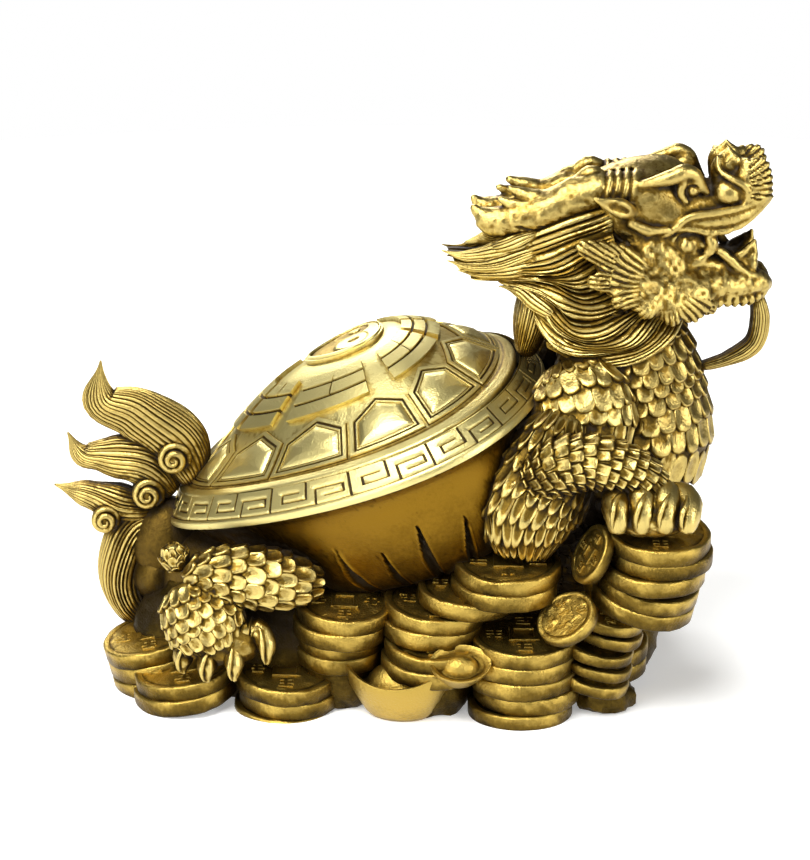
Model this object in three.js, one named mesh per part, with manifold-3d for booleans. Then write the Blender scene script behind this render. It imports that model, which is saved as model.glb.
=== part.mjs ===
// Dragon turtle on a heap of coins and ingots: one brass casting.
// Millimetres, +Z up, the head towards +X, the origin on the flat underside at the middle of the figure.

import * as THREE from "three";
import Module from "manifold-3d";
import { mergeVertices } from "three/addons/utils/BufferGeometryUtils.js";

const wasm = await Module();
wasm.setup();

// Driving dimensions
const figureLength = 200; // tail tip to nose
const shellLength = 113; // rim, tail end to neck end, along the tilted shell
const shellWidth = 93; // rim, side to side
const domeHeight = 28; // top of the shell above the plane of its rim
const shellPitch = 22.3; // degrees, neck end up
const rimHeight = 66.5; // middle of the rim above the ground
const rimBand = 4.4; // patterned border, seen from above
const rimEdge = 2.4; // thickness of the rim
const hullDepth = 40; // belly below the rim
const plateRise = 1.1; // raised shell plates
const coinDiameter = 28;
const coinThickness = 4.7;
const moundLength = 136;
const moundWidth = 70;
const moundHeight = 30;
const triangleCount = 9900;

// The pose is drawn on a figure 200 mm long, and follows its length.
const drawnLength = 200;
const unit = figureLength / drawnLength;
const near = -1; // the side with negative Y
const far = 1;
const outward = new THREE.Vector3(0, 1, 0);

/** A point of the pose. */
function at(x, y, z) {
  return new THREE.Vector3(x, y, z).multiplyScalar(unit);
}

/** The pose points of a list of [x, y, z], with Y turned to one side. */
function route(points, side = 1) {
  return points.map(([x, y, z]) => at(x, y * side, z));
}

/** A closed geometry as a solid, with its shared vertices merged. */
function solid(geometry) {
  const bare = geometry.clone();
  bare.deleteAttribute("normal");
  bare.deleteAttribute("uv");
  const merged = mergeVertices(bare, 1e-4);
  const vertProperties = merged.attributes.position.array;
  const triVerts = new Uint32Array(merged.index.array);
  const made = new wasm.Manifold(new wasm.Mesh({ numProp: 3, vertProperties, triVerts }));
  if (made.volume() > 0) return made;
  for (let i = 0; i < triVerts.length; i += 3) {
    [triVerts[i + 1], triVerts[i + 2]] = [triVerts[i + 2], triVerts[i + 1]];
  }
  return new wasm.Manifold(new wasm.Mesh({ numProp: 3, vertProperties, triVerts }));
}

/** Moves every vertex of a geometry by a function of its point. */
function reshape(geometry, move) {
  const place = geometry.attributes.position;
  const p = new THREE.Vector3();
  for (let i = 0; i < place.count; i++) {
    p.fromBufferAttribute(place, i);
    const q = move(p);
    place.setXYZ(i, q.x, q.y, q.z);
  }
  return geometry;
}

/** The value at share t of a short list, eased between its entries. */
function eased(list, t) {
  const place = THREE.MathUtils.clamp(t, 0, 1) * (list.length - 1);
  const i = Math.min(Math.floor(place), list.length - 2);
  return THREE.MathUtils.lerp(list[i], list[i + 1], THREE.MathUtils.smoothstep(place - i, 0, 1));
}

/** How much wider a polygon is than the circle whose area it has. */
function fullness(sides) {
  const step = (2 * Math.PI) / sides;
  return Math.sqrt(step / Math.sin(step));
}

/**
 * A closed tube with round ends along a smooth path. `broad` is its half width across `face`,
 * and `thick` its half thickness along it, in drawn millimetres.
 */
function sweep(path, broad, thick, { face = outward, sides = 6, rings = 6, blunt = 0.55 } = {}) {
  const line = new THREE.CatmullRomCurve3(path, false, "centripetal");
  const full = fullness(sides) * unit;
  return solid(
    reshape(new THREE.SphereGeometry(1, sides, rings), (p) => {
      const t = (1 - p.y) / 2;
      const ring = Math.hypot(p.x, p.z);
      const along = line.getTangentAt(t);
      const up = face.clone().addScaledVector(along, -face.dot(along)).normalize();
      const across = along.clone().cross(up);
      const swell = ring < 1e-6 ? 0 : ring ** blunt / ring;
      return line
        .getPointAt(t)
        .addScaledVector(across, p.x * swell * eased(broad, t) * full)
        .addScaledVector(up, p.z * swell * eased(thick, t) * full);
    }),
  );
}

/** An ellipsoid at a pose point, with its radii in drawn millimetres. */
function lump(centre, radii, sides = 8, rings = 5) {
  const ball = new THREE.SphereGeometry(1, sides, rings);
  ball.rotateX(Math.PI / 2);
  ball.scale(...radii.map((r) => r * unit * fullness(sides)));
  ball.translate(centre.x, centre.y, centre.z);
  return solid(ball);
}

// The shell's own frame: `shellAlong` runs to the neck, `shellAbove` stands off the rim's plane.
const pitch = THREE.MathUtils.degToRad(shellPitch);
const shellAlong = new THREE.Vector3(Math.cos(pitch), 0, Math.sin(pitch));
const shellAbove = new THREE.Vector3(-Math.sin(pitch), 0, Math.cos(pitch));
const shellMiddle = new THREE.Vector3(-14 * unit, 0, rimHeight);
const eggShape = 0.35; // how much wider the neck half is
const domeForward = 13 * unit; // the top stands ahead of the rim's middle
const bandShare = 1 - (2 * rimBand) / shellWidth;
const bandRise = 6.5;
const carvingBack = 0.24; // the carving's middle stands behind the dome's top

/** A point over the rim's plane: bearing in radians from the neck, share 0 at the top and 1 at the rim. */
function overShell(bearing, share, height) {
  const long = (shellLength / 2) * share * Math.cos(bearing) + domeForward * (1 - share);
  const wide = (shellWidth / 2) * share * Math.sin(bearing) * (1 + eggShape * Math.cos(bearing));
  return shellMiddle
    .clone()
    .addScaledVector(shellAlong, long)
    .addScaledVector(outward, wide)
    .addScaledVector(shellAbove, height);
}

/** Height of the dome over the rim's plane at a share of the way out. */
function domeAt(share) {
  if (share >= bandShare) return (bandRise * (1 - share)) / (1 - bandShare);
  return bandRise + (domeHeight - bandRise) * (1 - (share / bandShare) ** 2.4) ** 1.6;
}

/** A turned profile of [share, height], bent to the egg-shaped rim. */
function turned(profile, segments) {
  const points = profile.map(([s, h]) => new THREE.Vector2(s, h));
  return solid(
    reshape(new THREE.LatheGeometry(points, segments), (p) =>
      overShell(Math.atan2(p.z, p.x), Math.hypot(p.x, p.z), p.y),
    ),
  );
}

/** The dome, its rim and the belly below. */
function shellAndBelly() {
  const shares = [0, 0.22, 0.34, 0.45, 0.56, 0.67, 0.79, bandShare, 1];
  const belly = [
    [1, -rimEdge],
    [0.92, -rimEdge - 1.6],
    [0.87, -0.34 * hullDepth],
    [0.76, -0.7 * hullDepth],
    [0.5, -0.96 * hullDepth],
    [0, -hullDepth],
  ];
  return turned([...shares.map((s) => [s, domeAt(s)]), ...belly], 36);
}

/** A raised plate on the dome: an outline of [bearing in degrees, share], its foot sunk into the shell. */
function plate(outline, rise = plateRise) {
  const sunk = 2.5;
  const middle = outline.reduce((sum, [, s]) => sum + s, 0) / outline.length;
  const turn = outline.reduce((sum, [b]) => sum + b, 0) / outline.length;
  const shape = new THREE.Shape(outline.map(([b, s]) => new THREE.Vector2(b, s)));
  const slab = new THREE.ExtrudeGeometry(shape, { depth: 1, bevelEnabled: false, steps: 1 });
  return solid(
    reshape(slab, (p) => {
      const inset = p.z > 0.5 ? 0.92 : 1;
      const bearing = THREE.MathUtils.degToRad(turn + (p.x - turn) * inset);
      const ring = middle + (p.y - middle) * inset;
      const share = ring * (1 - carvingBack * (1 - ring) * Math.cos(bearing));
      return overShell(bearing, share, domeAt(share) + (p.z > 0.5 ? rise : -sunk));
    }),
  );
}

/** Points at one share from one bearing to another, close enough to follow the dome. */
function arc(from, to, share) {
  const steps = Math.ceil(Math.abs(to - from) / 12);
  return Array.from({ length: steps + 1 }, (_, i) => [from + ((to - from) * i) / steps, share]);
}

/** Twelve pentagon plates above the border, each with its point to the top. */
function borderPlates() {
  const count = 12;
  const step = 360 / count;
  const half = step * 0.42;
  return Array.from({ length: count }, (_, i) => {
    const b = (i + 0.5) * step;
    return plate([...arc(b - half, b + half, 0.82), [b + half, 0.65], [b, 0.575], [b - half, 0.65]]);
  });
}

/** The eight trigrams round the top, each with its middle bearing, half its width and its broken bars. */
function trigrams() {
  const innermost = 0.36;
  const barPitch = 0.06;
  const bar = 0.048;
  return [
    [0, 11, 0b000],
    [39, 22, 0b110],
    [100, 23, 0b101],
    [147, 14, 0b100],
    [180, 14, 0b111],
    [213, 14, 0b001],
    [260, 23, 0b010],
    [321, 22, 0b011],
  ].flatMap(([b, half, broken]) =>
    [0, 1, 2].flatMap((row) => {
      const low = innermost + row * barPitch;
      const split = 1.6;
      const spans = (broken >> row) & 1 ? [[-half, -split], [split, half]] : [[-half, half]];
      return spans.map(([from, to]) => plate([...arc(b + from, b + to, low), ...arc(b + to, b + from, low + bar)]));
    }),
  );
}

/** The round boss in the middle of the shell. */
function crownBoss() {
  const rim = 0.205;
  const top = domeAt(rim) + plateRise;
  return turned([[0, domeAt(0) + plateRise], [rim * 0.9, top], [rim, top - 4], [0, top - 4]], 12);
}

/** Neck and chest, from inside the shell up to the skull. */
function neck() {
  const path = route([[18, 0, 60], [44, 0, 60], [62, 0, 69], [61, 0, 90], [58, 0, 108], [64, 0, 126]]);
  return sweep(path, [22, 24, 22.5, 20, 17, 13], [26, 27, 22, 18, 17, 12], { sides: 12, rings: 10 });
}

/** The chest down to the heap, and the rump between the hind legs. */
function chestAndRump() {
  return [
    sweep(route([[30, 0, 46], [51, 0, 41], [66, 0, 51]]), [18, 18, 11.5], [27, 25, 17], { sides: 10, rings: 6 }),
    sweep(route([[-36, 0, 34], [-56, 0, 32], [-70, 0, 22]]), [15, 11, 7], [25, 17, 9], { sides: 9, rings: 6 }),
  ];
}

/** Four toes with claws, each along its own path. */
function toes(paths) {
  const face = new THREE.Vector3(1, 0, 0);
  return paths.map((path) => sweep(path, [3.4, 3.6, 3.3, 1.8], [3.6, 3.5, 3, 1.6], { face, sides: 6, rings: 6 }));
}

/** One front leg, whose toes grip the edge of a coin stack. */
function frontLeg(side) {
  const upper = route([[43, 22, 80], [38, 29, 69], [33, 31.5, 57], [31.7, 32, 46]], side);
  const fore = route([[31, 35, 66], [43.5, 38.5, 73.5], [52, 39.5, 74.5], [62, 39.5, 71], [68.5, 39, 65]], side);
  const grip = [58.5, 65.1, 71.2, 77.6].map((x, i) => {
    const lift = [0, 1, 0.6, -1][i];
    return route([[65 + i, 38, 64], [x, 44, 64.5 + lift], [x, 49.2, 60.5 + lift], [x + 0.3, 50.3, 54.5]], side);
  });
  return [
    lump(at(46, 18.5 * side, 80), [14, 9.5, 12.5]),
    sweep(upper, [12, 12.8, 13.2, 11], [12, 11.5, 11, 9], { sides: 9, rings: 7 }),
    sweep(fore, [8, 7.8, 6.8, 6.5, 6.5], [7.5, 7.5, 7, 6.5, 7], { sides: 8, rings: 7 }),
    lump(at(67.5, 40.5 * side, 60.5), [12, 8, 7.2]),
    ...toes(grip),
  ];
}

/** One hind leg, folded, with its heel spur, its toes spread over the low coins. */
function hindLeg(side) {
  const shank = route([[-24, 28, 36], [-33, 31, 37.5], [-48, 32, 39], [-60, 31, 37]], side);
  const foot = route([[-60, 31, 37], [-57.5, 33.5, 31.5], [-54, 35.5, 26], [-50, 37, 19.5]], side);
  const spread = [[-60.5, 38, 12.5], [-54, 40.5, 11], [-46.5, 41, 11.5], [-37.5, 39, 15.5]].map(([x, y, z]) => {
    return route([[-53 + (x + 49) * 0.3, 34.5, 24], [x, y - 4, z + 9], [x, y - 1, z + 4.5], [x, y, z]], side);
  });
  return [
    sweep(shank, [7, 8, 7.8, 7.4], [8, 8, 7.8, 7], { sides: 9, rings: 7 }),
    sweep(foot, [8, 10, 11, 8.5], [7.5, 8, 7.5, 6], { sides: 8, rings: 6 }),
    lump(at(-62.5, 30.5 * side, 44), [4, 3.4, 3.6], 6, 4),
    ...toes(spread),
  ];
}

/** Skull, snout, jaws, tongue and beard, which lie on the middle plane. */
function headMiddle() {
  return [
    sweep(route([[50, 0, 129], [62, 0, 133], [72, 0, 136.5], [82, 0, 135]]), [9, 11, 9, 6], [9, 13, 12.5, 9.5], {
      sides: 10,
      rings: 7,
    }),
    sweep(
      route([[72, 0, 136], [82, 0, 135.5], [92, 0, 137], [101.2, 0, 140.5]]),
      [7, 5, 4.2, 2.4],
      [11, 10, 8.5, 6],
      { sides: 8 },
    ),
    sweep(
      route([[60, 0, 118], [76, 0, 116], [90, 0, 113], [99.5, 0, 113.5]]),
      [9, 7.5, 5.6, 4.2],
      [13, 12, 9, 6],
      { sides: 8 },
    ),
    sweep(route([[62, 0, 124], [76, 0, 126], [88, 0, 122]]), [5, 4.5, 2], [8, 6, 3]),
    sweep(
      route([[95.5, 0, 112], [97.5, 0, 103], [96, 0, 95.5], [89, 0, 91], [77, 0, 87.5]]),
      [2.6, 3, 2.8, 2, 1.4],
      [5, 4.5, 3.5, 2.4, 2],
      { rings: 9 },
    ),
    sweep(route([[84, 0, 139], [87, 0, 146], [87.5, 0, 152]]), [4, 2.6, 0.6], [4, 2.4, 0.8], { sides: 5, rings: 5 }),
  ];
}

/** The paired parts of the head, on one side. */
function headSide(side) {
  const flat = at(0, side, 0.3).normalize();
  const slim = { sides: 5, rings: 5 };
  const horn = route([[62, 6.4, 140.6], [52, 6, 140], [44.4, 5.8, 137.6], [36.9, 5.6, 134.2], [29.4, 5.4, 132],
    [19.5, 5.2, 133]], side);
  const nubs = [
    [[39, 5, 136], [33, 4.6, 138.6], [28.4, 4.4, 139.8]],
    [[54, 5, 142.5], [50, 4.6, 144.6], [46.6, 4.6, 142.6]],
  ];
  const ear = route([[63, 12, 134], [57, 17, 136.5], [51, 19, 140]], side);
  const brow = route([[62, 10, 141], [69, 11.5, 143], [75, 11, 146.5], [79, 10, 142]], side);
  const lip = route([[65, 12, 128.5], [73, 13, 130.5], [82, 11.5, 133], [91, 9, 135], [97.5, 6.5, 138]], side);
  const curl = route([[92, 5, 138], [92, 5.5, 142], [87.5, 5, 145.5], [84.5, 4, 149.5]], side);
  const fan = route([[89, 5, 138], [94.5, 6, 141.5], [100, 6.5, 143.5]], side);
  const fang = route([[82, 10, 132], [83.5, 11, 126.5], [80.5, 10.5, 121]], side);
  const tusk = route([[92, 5, 115], [94, 6, 120], [93, 5.5, 124.5]], side);
  const frill = [
    [[68, 12, 124], [60, 16, 127], [51, 18, 128]],
    [[67, 13, 119], [60, 17, 119.5], [53.5, 19, 117.5]],
    [[70, 13, 115], [64, 17, 111.5], [60, 19, 107]],
    [[76, 12, 113], [73, 15.5, 108], [71.5, 16.5, 103.5]],
  ];
  const chin = route([[78, 10.5, 109.5], [88, 8.5, 108.8], [95, 6.5, 109.2], [98.6, 3, 110.5]], side);
  return [
    sweep(horn, [4.8, 4.9, 5, 4.8, 4.2, 2.2], [4.6, 4.7, 4.6, 4.4, 4, 2], { sides: 7, rings: 8 }),
    ...nubs.map((points) => sweep(route(points, side), [3, 2.4, 0.9], [2.6, 2.2, 0.9], slim)),
    sweep(ear, [2.2, 3.6, 0.6], [1.6, 1.6, 0.6], { face: flat, ...slim }),
    sweep(brow, [2.6, 2.8, 2.4, 1.6], [2.6, 3, 2.6, 1.6], { sides: 5, rings: 6 }),
    sweep(lip, [1.6, 2.1, 2.3, 2, 1.2], [2.4, 2.4, 2.4, 2.2, 1.4], { sides: 5, rings: 7 }),
    sweep(curl, [2, 2.2, 1.9, 0.8], [1.8, 1.9, 1.7, 0.8], { sides: 5, rings: 6 }),
    sweep(fan, [3, 7, 7.5], [2.4, 2.6, 1], { face: flat, sides: 7, rings: 5, blunt: 0.4 }),
    sweep(fang, [2.2, 1.8, 0.5], [1.8, 1.4, 0.5], { sides: 4, rings: 4 }),
    sweep(tusk, [2.6, 1.8, 0.5], [2, 1.5, 0.5], { sides: 4, rings: 4 }),
    ...frill.map((points) => sweep(route(points, side), [5, 6.5, 1], [3.5, 3, 0.8], { face: flat, sides: 6, rings: 5 })),
    sweep(chin, [2.4, 2.8, 2.6, 2], [2.6, 2.8, 2.6, 2], { sides: 5, rings: 6 }),
    lump(at(75.5, 9.5 * side, 138.5), [3.2, 2.6, 3], 6, 4),
    lump(at(87.5, 5 * side, 139.5), [5, 4.6, 4.8], 7, 5),
    lump(at(71, 9 * side, 120.5), [9.5, 6.5, 9.5], 8, 5),
  ];
}

/** The locks on the middle plane, over the nape and between the horns. */
function napeLocks() {
  return [
    sweep(route([[60, 0, 139], [46, 0, 134], [32, 0, 128], [16, 0, 124]]), [6, 7, 6, 1], [9, 9, 6, 2]),
    sweep(route([[50, 0, 130], [42, 0, 118], [36, 0, 106], [33, 0, 92]]), [9, 8, 6, 5], [11, 11, 10, 9]),
    sweep(route([[78, 0, 138.5], [70, 0, 143.8], [58, 0, 142], [46, 0, 138.5]]), [5, 4.4, 4, 2], [6, 6, 5, 2]),
  ];
}

/** The mane of one side: broad locks that sweep from the jaw back over the neck. */
function mane(side) {
  const face = at(0, side, 0.15).normalize();
  const thick = [5, 5, 4.5, 3.4, 0.9];
  const locks = [
    [[60, 8, 134], [45, 11, 131], [31, 9, 125.5], [22, 6, 122], [10.8, 2, 122.1]],
    [[60, 11, 126], [44, 13, 122.5], [34, 11.5, 120.5], [25.5, 8, 118.8], [15, 4, 117]],
    [[62, 12.5, 118], [48, 15, 114.5], [38, 14, 115.5], [27, 8, 116.5], [17.3, 4, 115.2]],
    [[64, 13, 112], [52, 16, 107], [43, 15.5, 108], [35, 11.5, 112], [27.5, 7, 113.5]],
    [[69, 13.5, 108], [58, 17, 102], [48, 17.5, 101], [40, 14.5, 104.5], [33, 9, 110]],
    [[78, 9.5, 107], [72, 14, 101.5], [60, 17.5, 97.3], [47, 16.5, 97.5], [38, 11, 99]],
  ];
  const broad = [5, 6, 5.2, 4, 1];
  return locks.map((path) => sweep(route(path, side), broad, thick, { face, sides: 7, rings: 7 }));
}

/** The flaming tail: three tongues, a scroll at the foot of each, and the strand that falls to the coins. */
function tail() {
  const strands = [
    { path: [[-58, 0, 54], [-64, 0, 68], [-75, 0, 75], [-84, 0, 78.5], [-84, 0, 90.5]], broad: [7, 9, 8, 6, 0.8] },
    { path: [[-64, 0, 52], [-74, 0, 61], [-84, 0, 62.5], [-90, 0, 63], [-93.8, 0, 69.5]], broad: [6, 7, 6.5, 4, 0.8] },
    { path: [[-70, 0, 46], [-80, 0, 48.5], [-88, 0, 51], [-98, 0, 54]], broad: [6, 6, 4, 0.8] },
  ];
  const fall = route([[-60, 0, 44], [-75, 0, 42], [-80, 0, 30], [-78, 0, 20], [-68, 0, 9]]);
  const scrolls = [[-64, 63.5, 5.2], [-71.5, 53, 5], [-83.5, 45.5, 4.4]];
  return [
    ...strands.map(({ path, broad }) => sweep(route(path), broad, [7, 6, 4.5, 1], { sides: 7, rings: 8 })),
    sweep(fall, [8, 7, 6.5, 6, 4], [7, 6, 6, 6, 5], { sides: 7, rings: 8 }),
    ...scrolls.map(([x, z, r]) => lump(at(x, 0, z), [r, 8.5, r], 8, 4)),
  ];
}

/** A coin with its middle at a point, leaned to the neck by `lean` and to the side by `roll`, in degrees. */
function coin(middle, { lean = 0, roll = 0, size = 1, sides = 14 } = {}) {
  const r = (coinDiameter / 2) * size * fullness(sides);
  const disc = new THREE.CylinderGeometry(r, r, coinThickness * (size < 0.8 ? 0.7 : 1), sides);
  disc.rotateX(Math.PI / 2);
  disc.rotateX(THREE.MathUtils.degToRad(roll));
  disc.rotateY(THREE.MathUtils.degToRad(lean));
  disc.translate(middle.x, middle.y, middle.z);
  return solid(disc);
}

/** A stack of coins whose top face is at height `top`, each coin a little out of line with the one below. */
function stack({ x, y, top, count, lean = 0, roll = 0, size = 1 }) {
  const seat = coinThickness * 0.985;
  const slope = Math.sin(THREE.MathUtils.degToRad(lean));
  const tip = Math.sin(THREE.MathUtils.degToRad(roll));
  return Array.from({ length: count }, (_, i) => {
    const down = (i + 0.5) * seat;
    const drift = i === 0 ? 0 : 0.9 * Math.sin(i * 2.4 + x);
    const step = new THREE.Vector3(drift - slope * down, 0.6 * drift + tip * down, -down);
    return coin(at(x, y, top).add(step), { lean, roll, size });
  });
}

/** A boat-shaped ingot with its round boss, on a point, turned by `yaw` and tipped by `tip` degrees. */
function ingot(foot, { yaw = 0, tip = 0, size = 1 } = {}) {
  const half = 9.6 * size;
  const profile = [[0, 0], [0.55, 0], [1, 1], [0.64, 0.8], [0.3, 1.1], [0, 1.2]];
  const boat = new THREE.LatheGeometry(profile.map(([r, h]) => new THREE.Vector2(r, h)), 10);
  reshape(boat, (p) => {
    const prow = p.y > 0.9 ? 0.3 * p.x * p.x : 0;
    return new THREE.Vector3(p.x * half, p.z * half * 0.72, (p.y + prow) * half * 0.85);
  });
  boat.rotateX(Math.PI + THREE.MathUtils.degToRad(tip));
  boat.rotateX(Math.PI);
  boat.rotateZ(THREE.MathUtils.degToRad(yaw));
  boat.translate(foot.x, foot.y, foot.z);
  return solid(boat);
}

/** The heap's solid core, on which the coins lie. */
function mound() {
  const middle = at(-9, 0, 0);
  return solid(
    reshape(new THREE.SphereGeometry(1, 18, 8), (p) => {
      const square = 1 - 0.1 * Math.abs(Math.sin(2 * Math.atan2(p.z, p.x)));
      return new THREE.Vector3(
        middle.x + ((p.x / square) * moundLength) / 2,
        ((p.z / square) * moundWidth) / 2,
        moundHeight * 0.35 + moundHeight * Math.sign(p.y) * Math.abs(p.y) ** 0.75,
      );
    }),
  );
}

/** Every stack, loose coin and ingot of the heap. */
function heap() {
  const stacks = [
    { x: -71, y: -14, top: 15.5, count: 3, lean: -14 },
    { x: -61, y: -26, top: 10.5, count: 2, lean: -8 },
    { x: -32.5, y: -29, top: 10.6, count: 3, lean: 2, roll: 2 },
    { x: -16.5, y: -28, top: 30.5, count: 2, lean: 2, roll: 3, size: 0.94 },
    { x: -17.5, y: -26, top: 21.5, count: 2, size: 0.84 },
    { x: 8.5, y: -28.5, top: 31, count: 2, lean: 4, roll: 2 },
    { x: 17.5, y: -29.5, top: 36, count: 1, lean: 3, roll: 3 },
    { x: 28, y: -31, top: 43.5, count: 2, lean: 1, roll: 2, size: 1.04 },
    { x: 8, y: -33, top: 21.5, count: 2, lean: 2, roll: 3, size: 0.96 },
    { x: 32.5, y: -33, top: 22.7, count: 5, size: 1.04 },
    { x: 68.5, y: -36, top: 54, count: 3, lean: 2, roll: 2 },
    { x: 66.5, y: -34, top: 40, count: 2, lean: 12, roll: 5 },
    { x: 56, y: -33, top: 30, count: 5, lean: 13, size: 0.7 },
    { x: -66, y: 22, top: 12.5, count: 2, lean: -10 },
    { x: -36, y: 27, top: 12, count: 3, lean: 2, roll: -2 },
    { x: -8, y: 26, top: 29, count: 3, lean: 2, roll: -3 },
    { x: 26, y: 30, top: 43, count: 8, lean: 1, size: 1.04 },
    { x: 69, y: 36, top: 54, count: 3, lean: 2, roll: -2, size: 1.02 },
    { x: 63, y: 34, top: 40, count: 5, lean: 6, roll: -3 },
    { x: 54, y: -11, top: 13, count: 2, lean: 2 },
    { x: 55, y: 12, top: 17.5, count: 3, lean: 3 },
    { x: 61, y: 1, top: 33, count: 3, lean: 8 },
  ];
  return [
    ...stacks.flatMap(stack),
    coin(at(43.8, -43.5, 31), { lean: -28, roll: 25, size: 0.6, sides: 10 }),
    coin(at(50.8, -38, 47.5), { lean: -62, roll: 16, size: 0.6, sides: 10 }),
    coin(at(46, 42, 30), { lean: -28, roll: -25, size: 0.62, sides: 10 }),
    ingot(at(14.5, -42, 8), { yaw: 6, tip: 12 }),
    ingot(at(-4, -37, 0), { yaw: -16, size: 1.25 }),
    ingot(at(4, 37.5, 0), { yaw: 20, size: 1.3 }),
    lump(at(53, 0, 14), [13, 32, 22], 10, 6),
    lump(at(60, -26, 38), [11, 9, 15]),
    lump(at(60, 26, 38), [11, 9, 15]),
  ];
}

const bothSides = [near, far].flatMap((side) => [
  ...frontLeg(side),
  ...hindLeg(side),
  ...headSide(side),
  ...mane(side),
]);
const pieces = [
  shellAndBelly(),
  ...borderPlates(),
  ...trigrams(),
  crownBoss(),
  neck(),
  ...chestAndRump(),
  ...bothSides,
  ...headMiddle(),
  ...napeLocks(),
  ...tail(),
  mound(),
  ...heap(),
];

/** The surface joined to the highest vertex, so that no hollow closed in by the heap is left. */
function outerSkin(position, triangles) {
  const around = Array.from({ length: position.length / 3 }, () => []);
  triangles.forEach((v, i) => around[v].push(Math.floor(i / 3)));
  let top = 0;
  for (let v = 1; v < around.length; v++) if (position[3 * v + 2] > position[3 * top + 2]) top = v;
  const reached = new Set(around[top]);
  for (const face of reached) {
    for (let k = 0; k < 3; k++) around[triangles[3 * face + k]].forEach((next) => reached.add(next));
  }
  return { position, index: [...reached].flatMap((face) => [...triangles.slice(3 * face, 3 * face + 3)]) };
}

/**
 * Joins the ends of the shortest and flattest edges until `goal` triangles are left. The cost of an edge
 * is the squared distance of its new point from the planes of the faces round it, times their areas.
 */
function thinned({ position, index }, goal) {
  const point = Array.from({ length: position.length / 3 }, (_, v) => new THREE.Vector3().fromArray(position, 3 * v));
  const faces = [];
  const around = point.map(() => new Set());
  const planes = point.map(() => []);
  for (let i = 0; i < index.length; i += 3) {
    const face = [...index.slice(i, i + 3)];
    const normal = faceNormal(face.map((v) => point[v]));
    const area = normal.length();
    const plane = { normal: normal.clone().divideScalar(area || 1), area, origin: point[face[0]].clone() };
    face.forEach((v) => {
      around[v].add(faces.length);
      planes[v].push(plane);
    });
    faces.push(face);
  }
  const onGround = (v) => point[v].z < 1e-4;
  const price = (u, v) => {
    const spots = [point[u], point[v], point[u].clone().lerp(point[v], 0.5)];
    const free = spots.filter((spot) => !(onGround(u) || onGround(v)) || spot.z < 1e-4);
    const costs = free.map((spot) => {
      const off = (sum, { normal, area, origin }) => sum + area * (spot.clone().sub(origin).dot(normal) ** 2);
      return planes[u].reduce(off, planes[v].reduce(off, 1e-4 * point[u].distanceToSquared(point[v])));
    });
    const least = costs.indexOf(Math.min(...costs));
    return { u, v, cost: costs[least], spot: free[least].clone() };
  };
  const ring = (v) => new Set([...around[v]].flatMap((f) => faces[f]).filter((w) => w !== v));
  const fits = ({ u, v, spot }) => {
    const shared = [...ring(u)].filter((w) => ring(v).has(w));
    if (shared.length !== 2) return false;
    if (point[u].distanceTo(point[v]) < 0.02) return true;
    return [u, v].every((from) =>
      [...around[from]].every((f) => {
        if (faces[f].includes(u) && faces[f].includes(v)) return true;
        const before = faceNormal(faces[f].map((w) => point[w]));
        const after = faceNormal(faces[f].map((w) => (w === from ? spot : point[w])));
        return after.length() > 1e-3 && before.dot(after) > 0.35 * before.length() * after.length();
      }),
    );
  };
  let count = faces.length;
  while (count > goal) {
    const edges = [];
    faces.forEach((face) => {
      if (face) face.forEach((v, k) => v < face[(k + 1) % 3] && edges.push(price(v, face[(k + 1) % 3])));
    });
    edges.sort((a, b) => a.cost - b.cost);
    const busy = new Set();
    const before = count;
    for (const edge of edges.slice(0, Math.ceil(edges.length / 5))) {
      const { u, v, spot } = edge;
      if (count <= goal || busy.has(u) || busy.has(v) || !fits(edge)) continue;
      [...ring(u), ...ring(v)].forEach((w) => busy.add(w));
      point[u].copy(spot);
      planes[u].push(...planes[v]);
      for (const f of around[v]) {
        if (faces[f].includes(u)) {
          faces[f].forEach((w) => w !== v && around[w].delete(f));
          faces[f] = null;
          count--;
        } else {
          faces[f] = faces[f].map((w) => (w === v ? u : w));
          around[u].add(f);
        }
      }
      around[v].clear();
    }
    if (count === before) break;
  }
  const kept = new Map();
  const left = faces.filter(Boolean).flat();
  left.forEach((v) => kept.has(v) || kept.set(v, kept.size));
  return { position: [...kept.keys()].flatMap((v) => point[v].toArray()), index: left.map((v) => kept.get(v)) };
}

/** The face's normal, as long as its area. */
function faceNormal([a, b, c]) {
  return b.clone().sub(a).cross(c.clone().sub(a)).multiplyScalar(0.5);
}

const depth = 80;
const ground = new THREE.BoxGeometry(figureLength * 2, figureLength * 2, depth).translate(0, 0, -depth / 2);
const cast = wasm.Manifold.union(pieces).subtract(solid(ground));

const joined = cast.getMesh();
const { position, index } = thinned(outerSkin(joined.vertProperties, joined.triVerts), triangleCount);
const geometry = new THREE.BufferGeometry();
geometry.setAttribute("position", new THREE.Float32BufferAttribute(position, 3));
geometry.setIndex(index);
geometry.computeVertexNormals();

const brass = new THREE.MeshStandardMaterial({ color: 0xb8953f, metalness: 1, roughness: 0.35 });
const figure = new THREE.Mesh(geometry, brass);
figure.name = "dragon_turtle";

const group = new THREE.Group();
group.add(figure);

export default group;
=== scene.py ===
"""Dragon turtle on a heap of coins and ingots: one brass casting, worn gold with dark recesses.

Every form is worked out in drawn millimetres, in the frame's own axes: +X to the head, +Z up,
the near side at -Y.
"""

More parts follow.
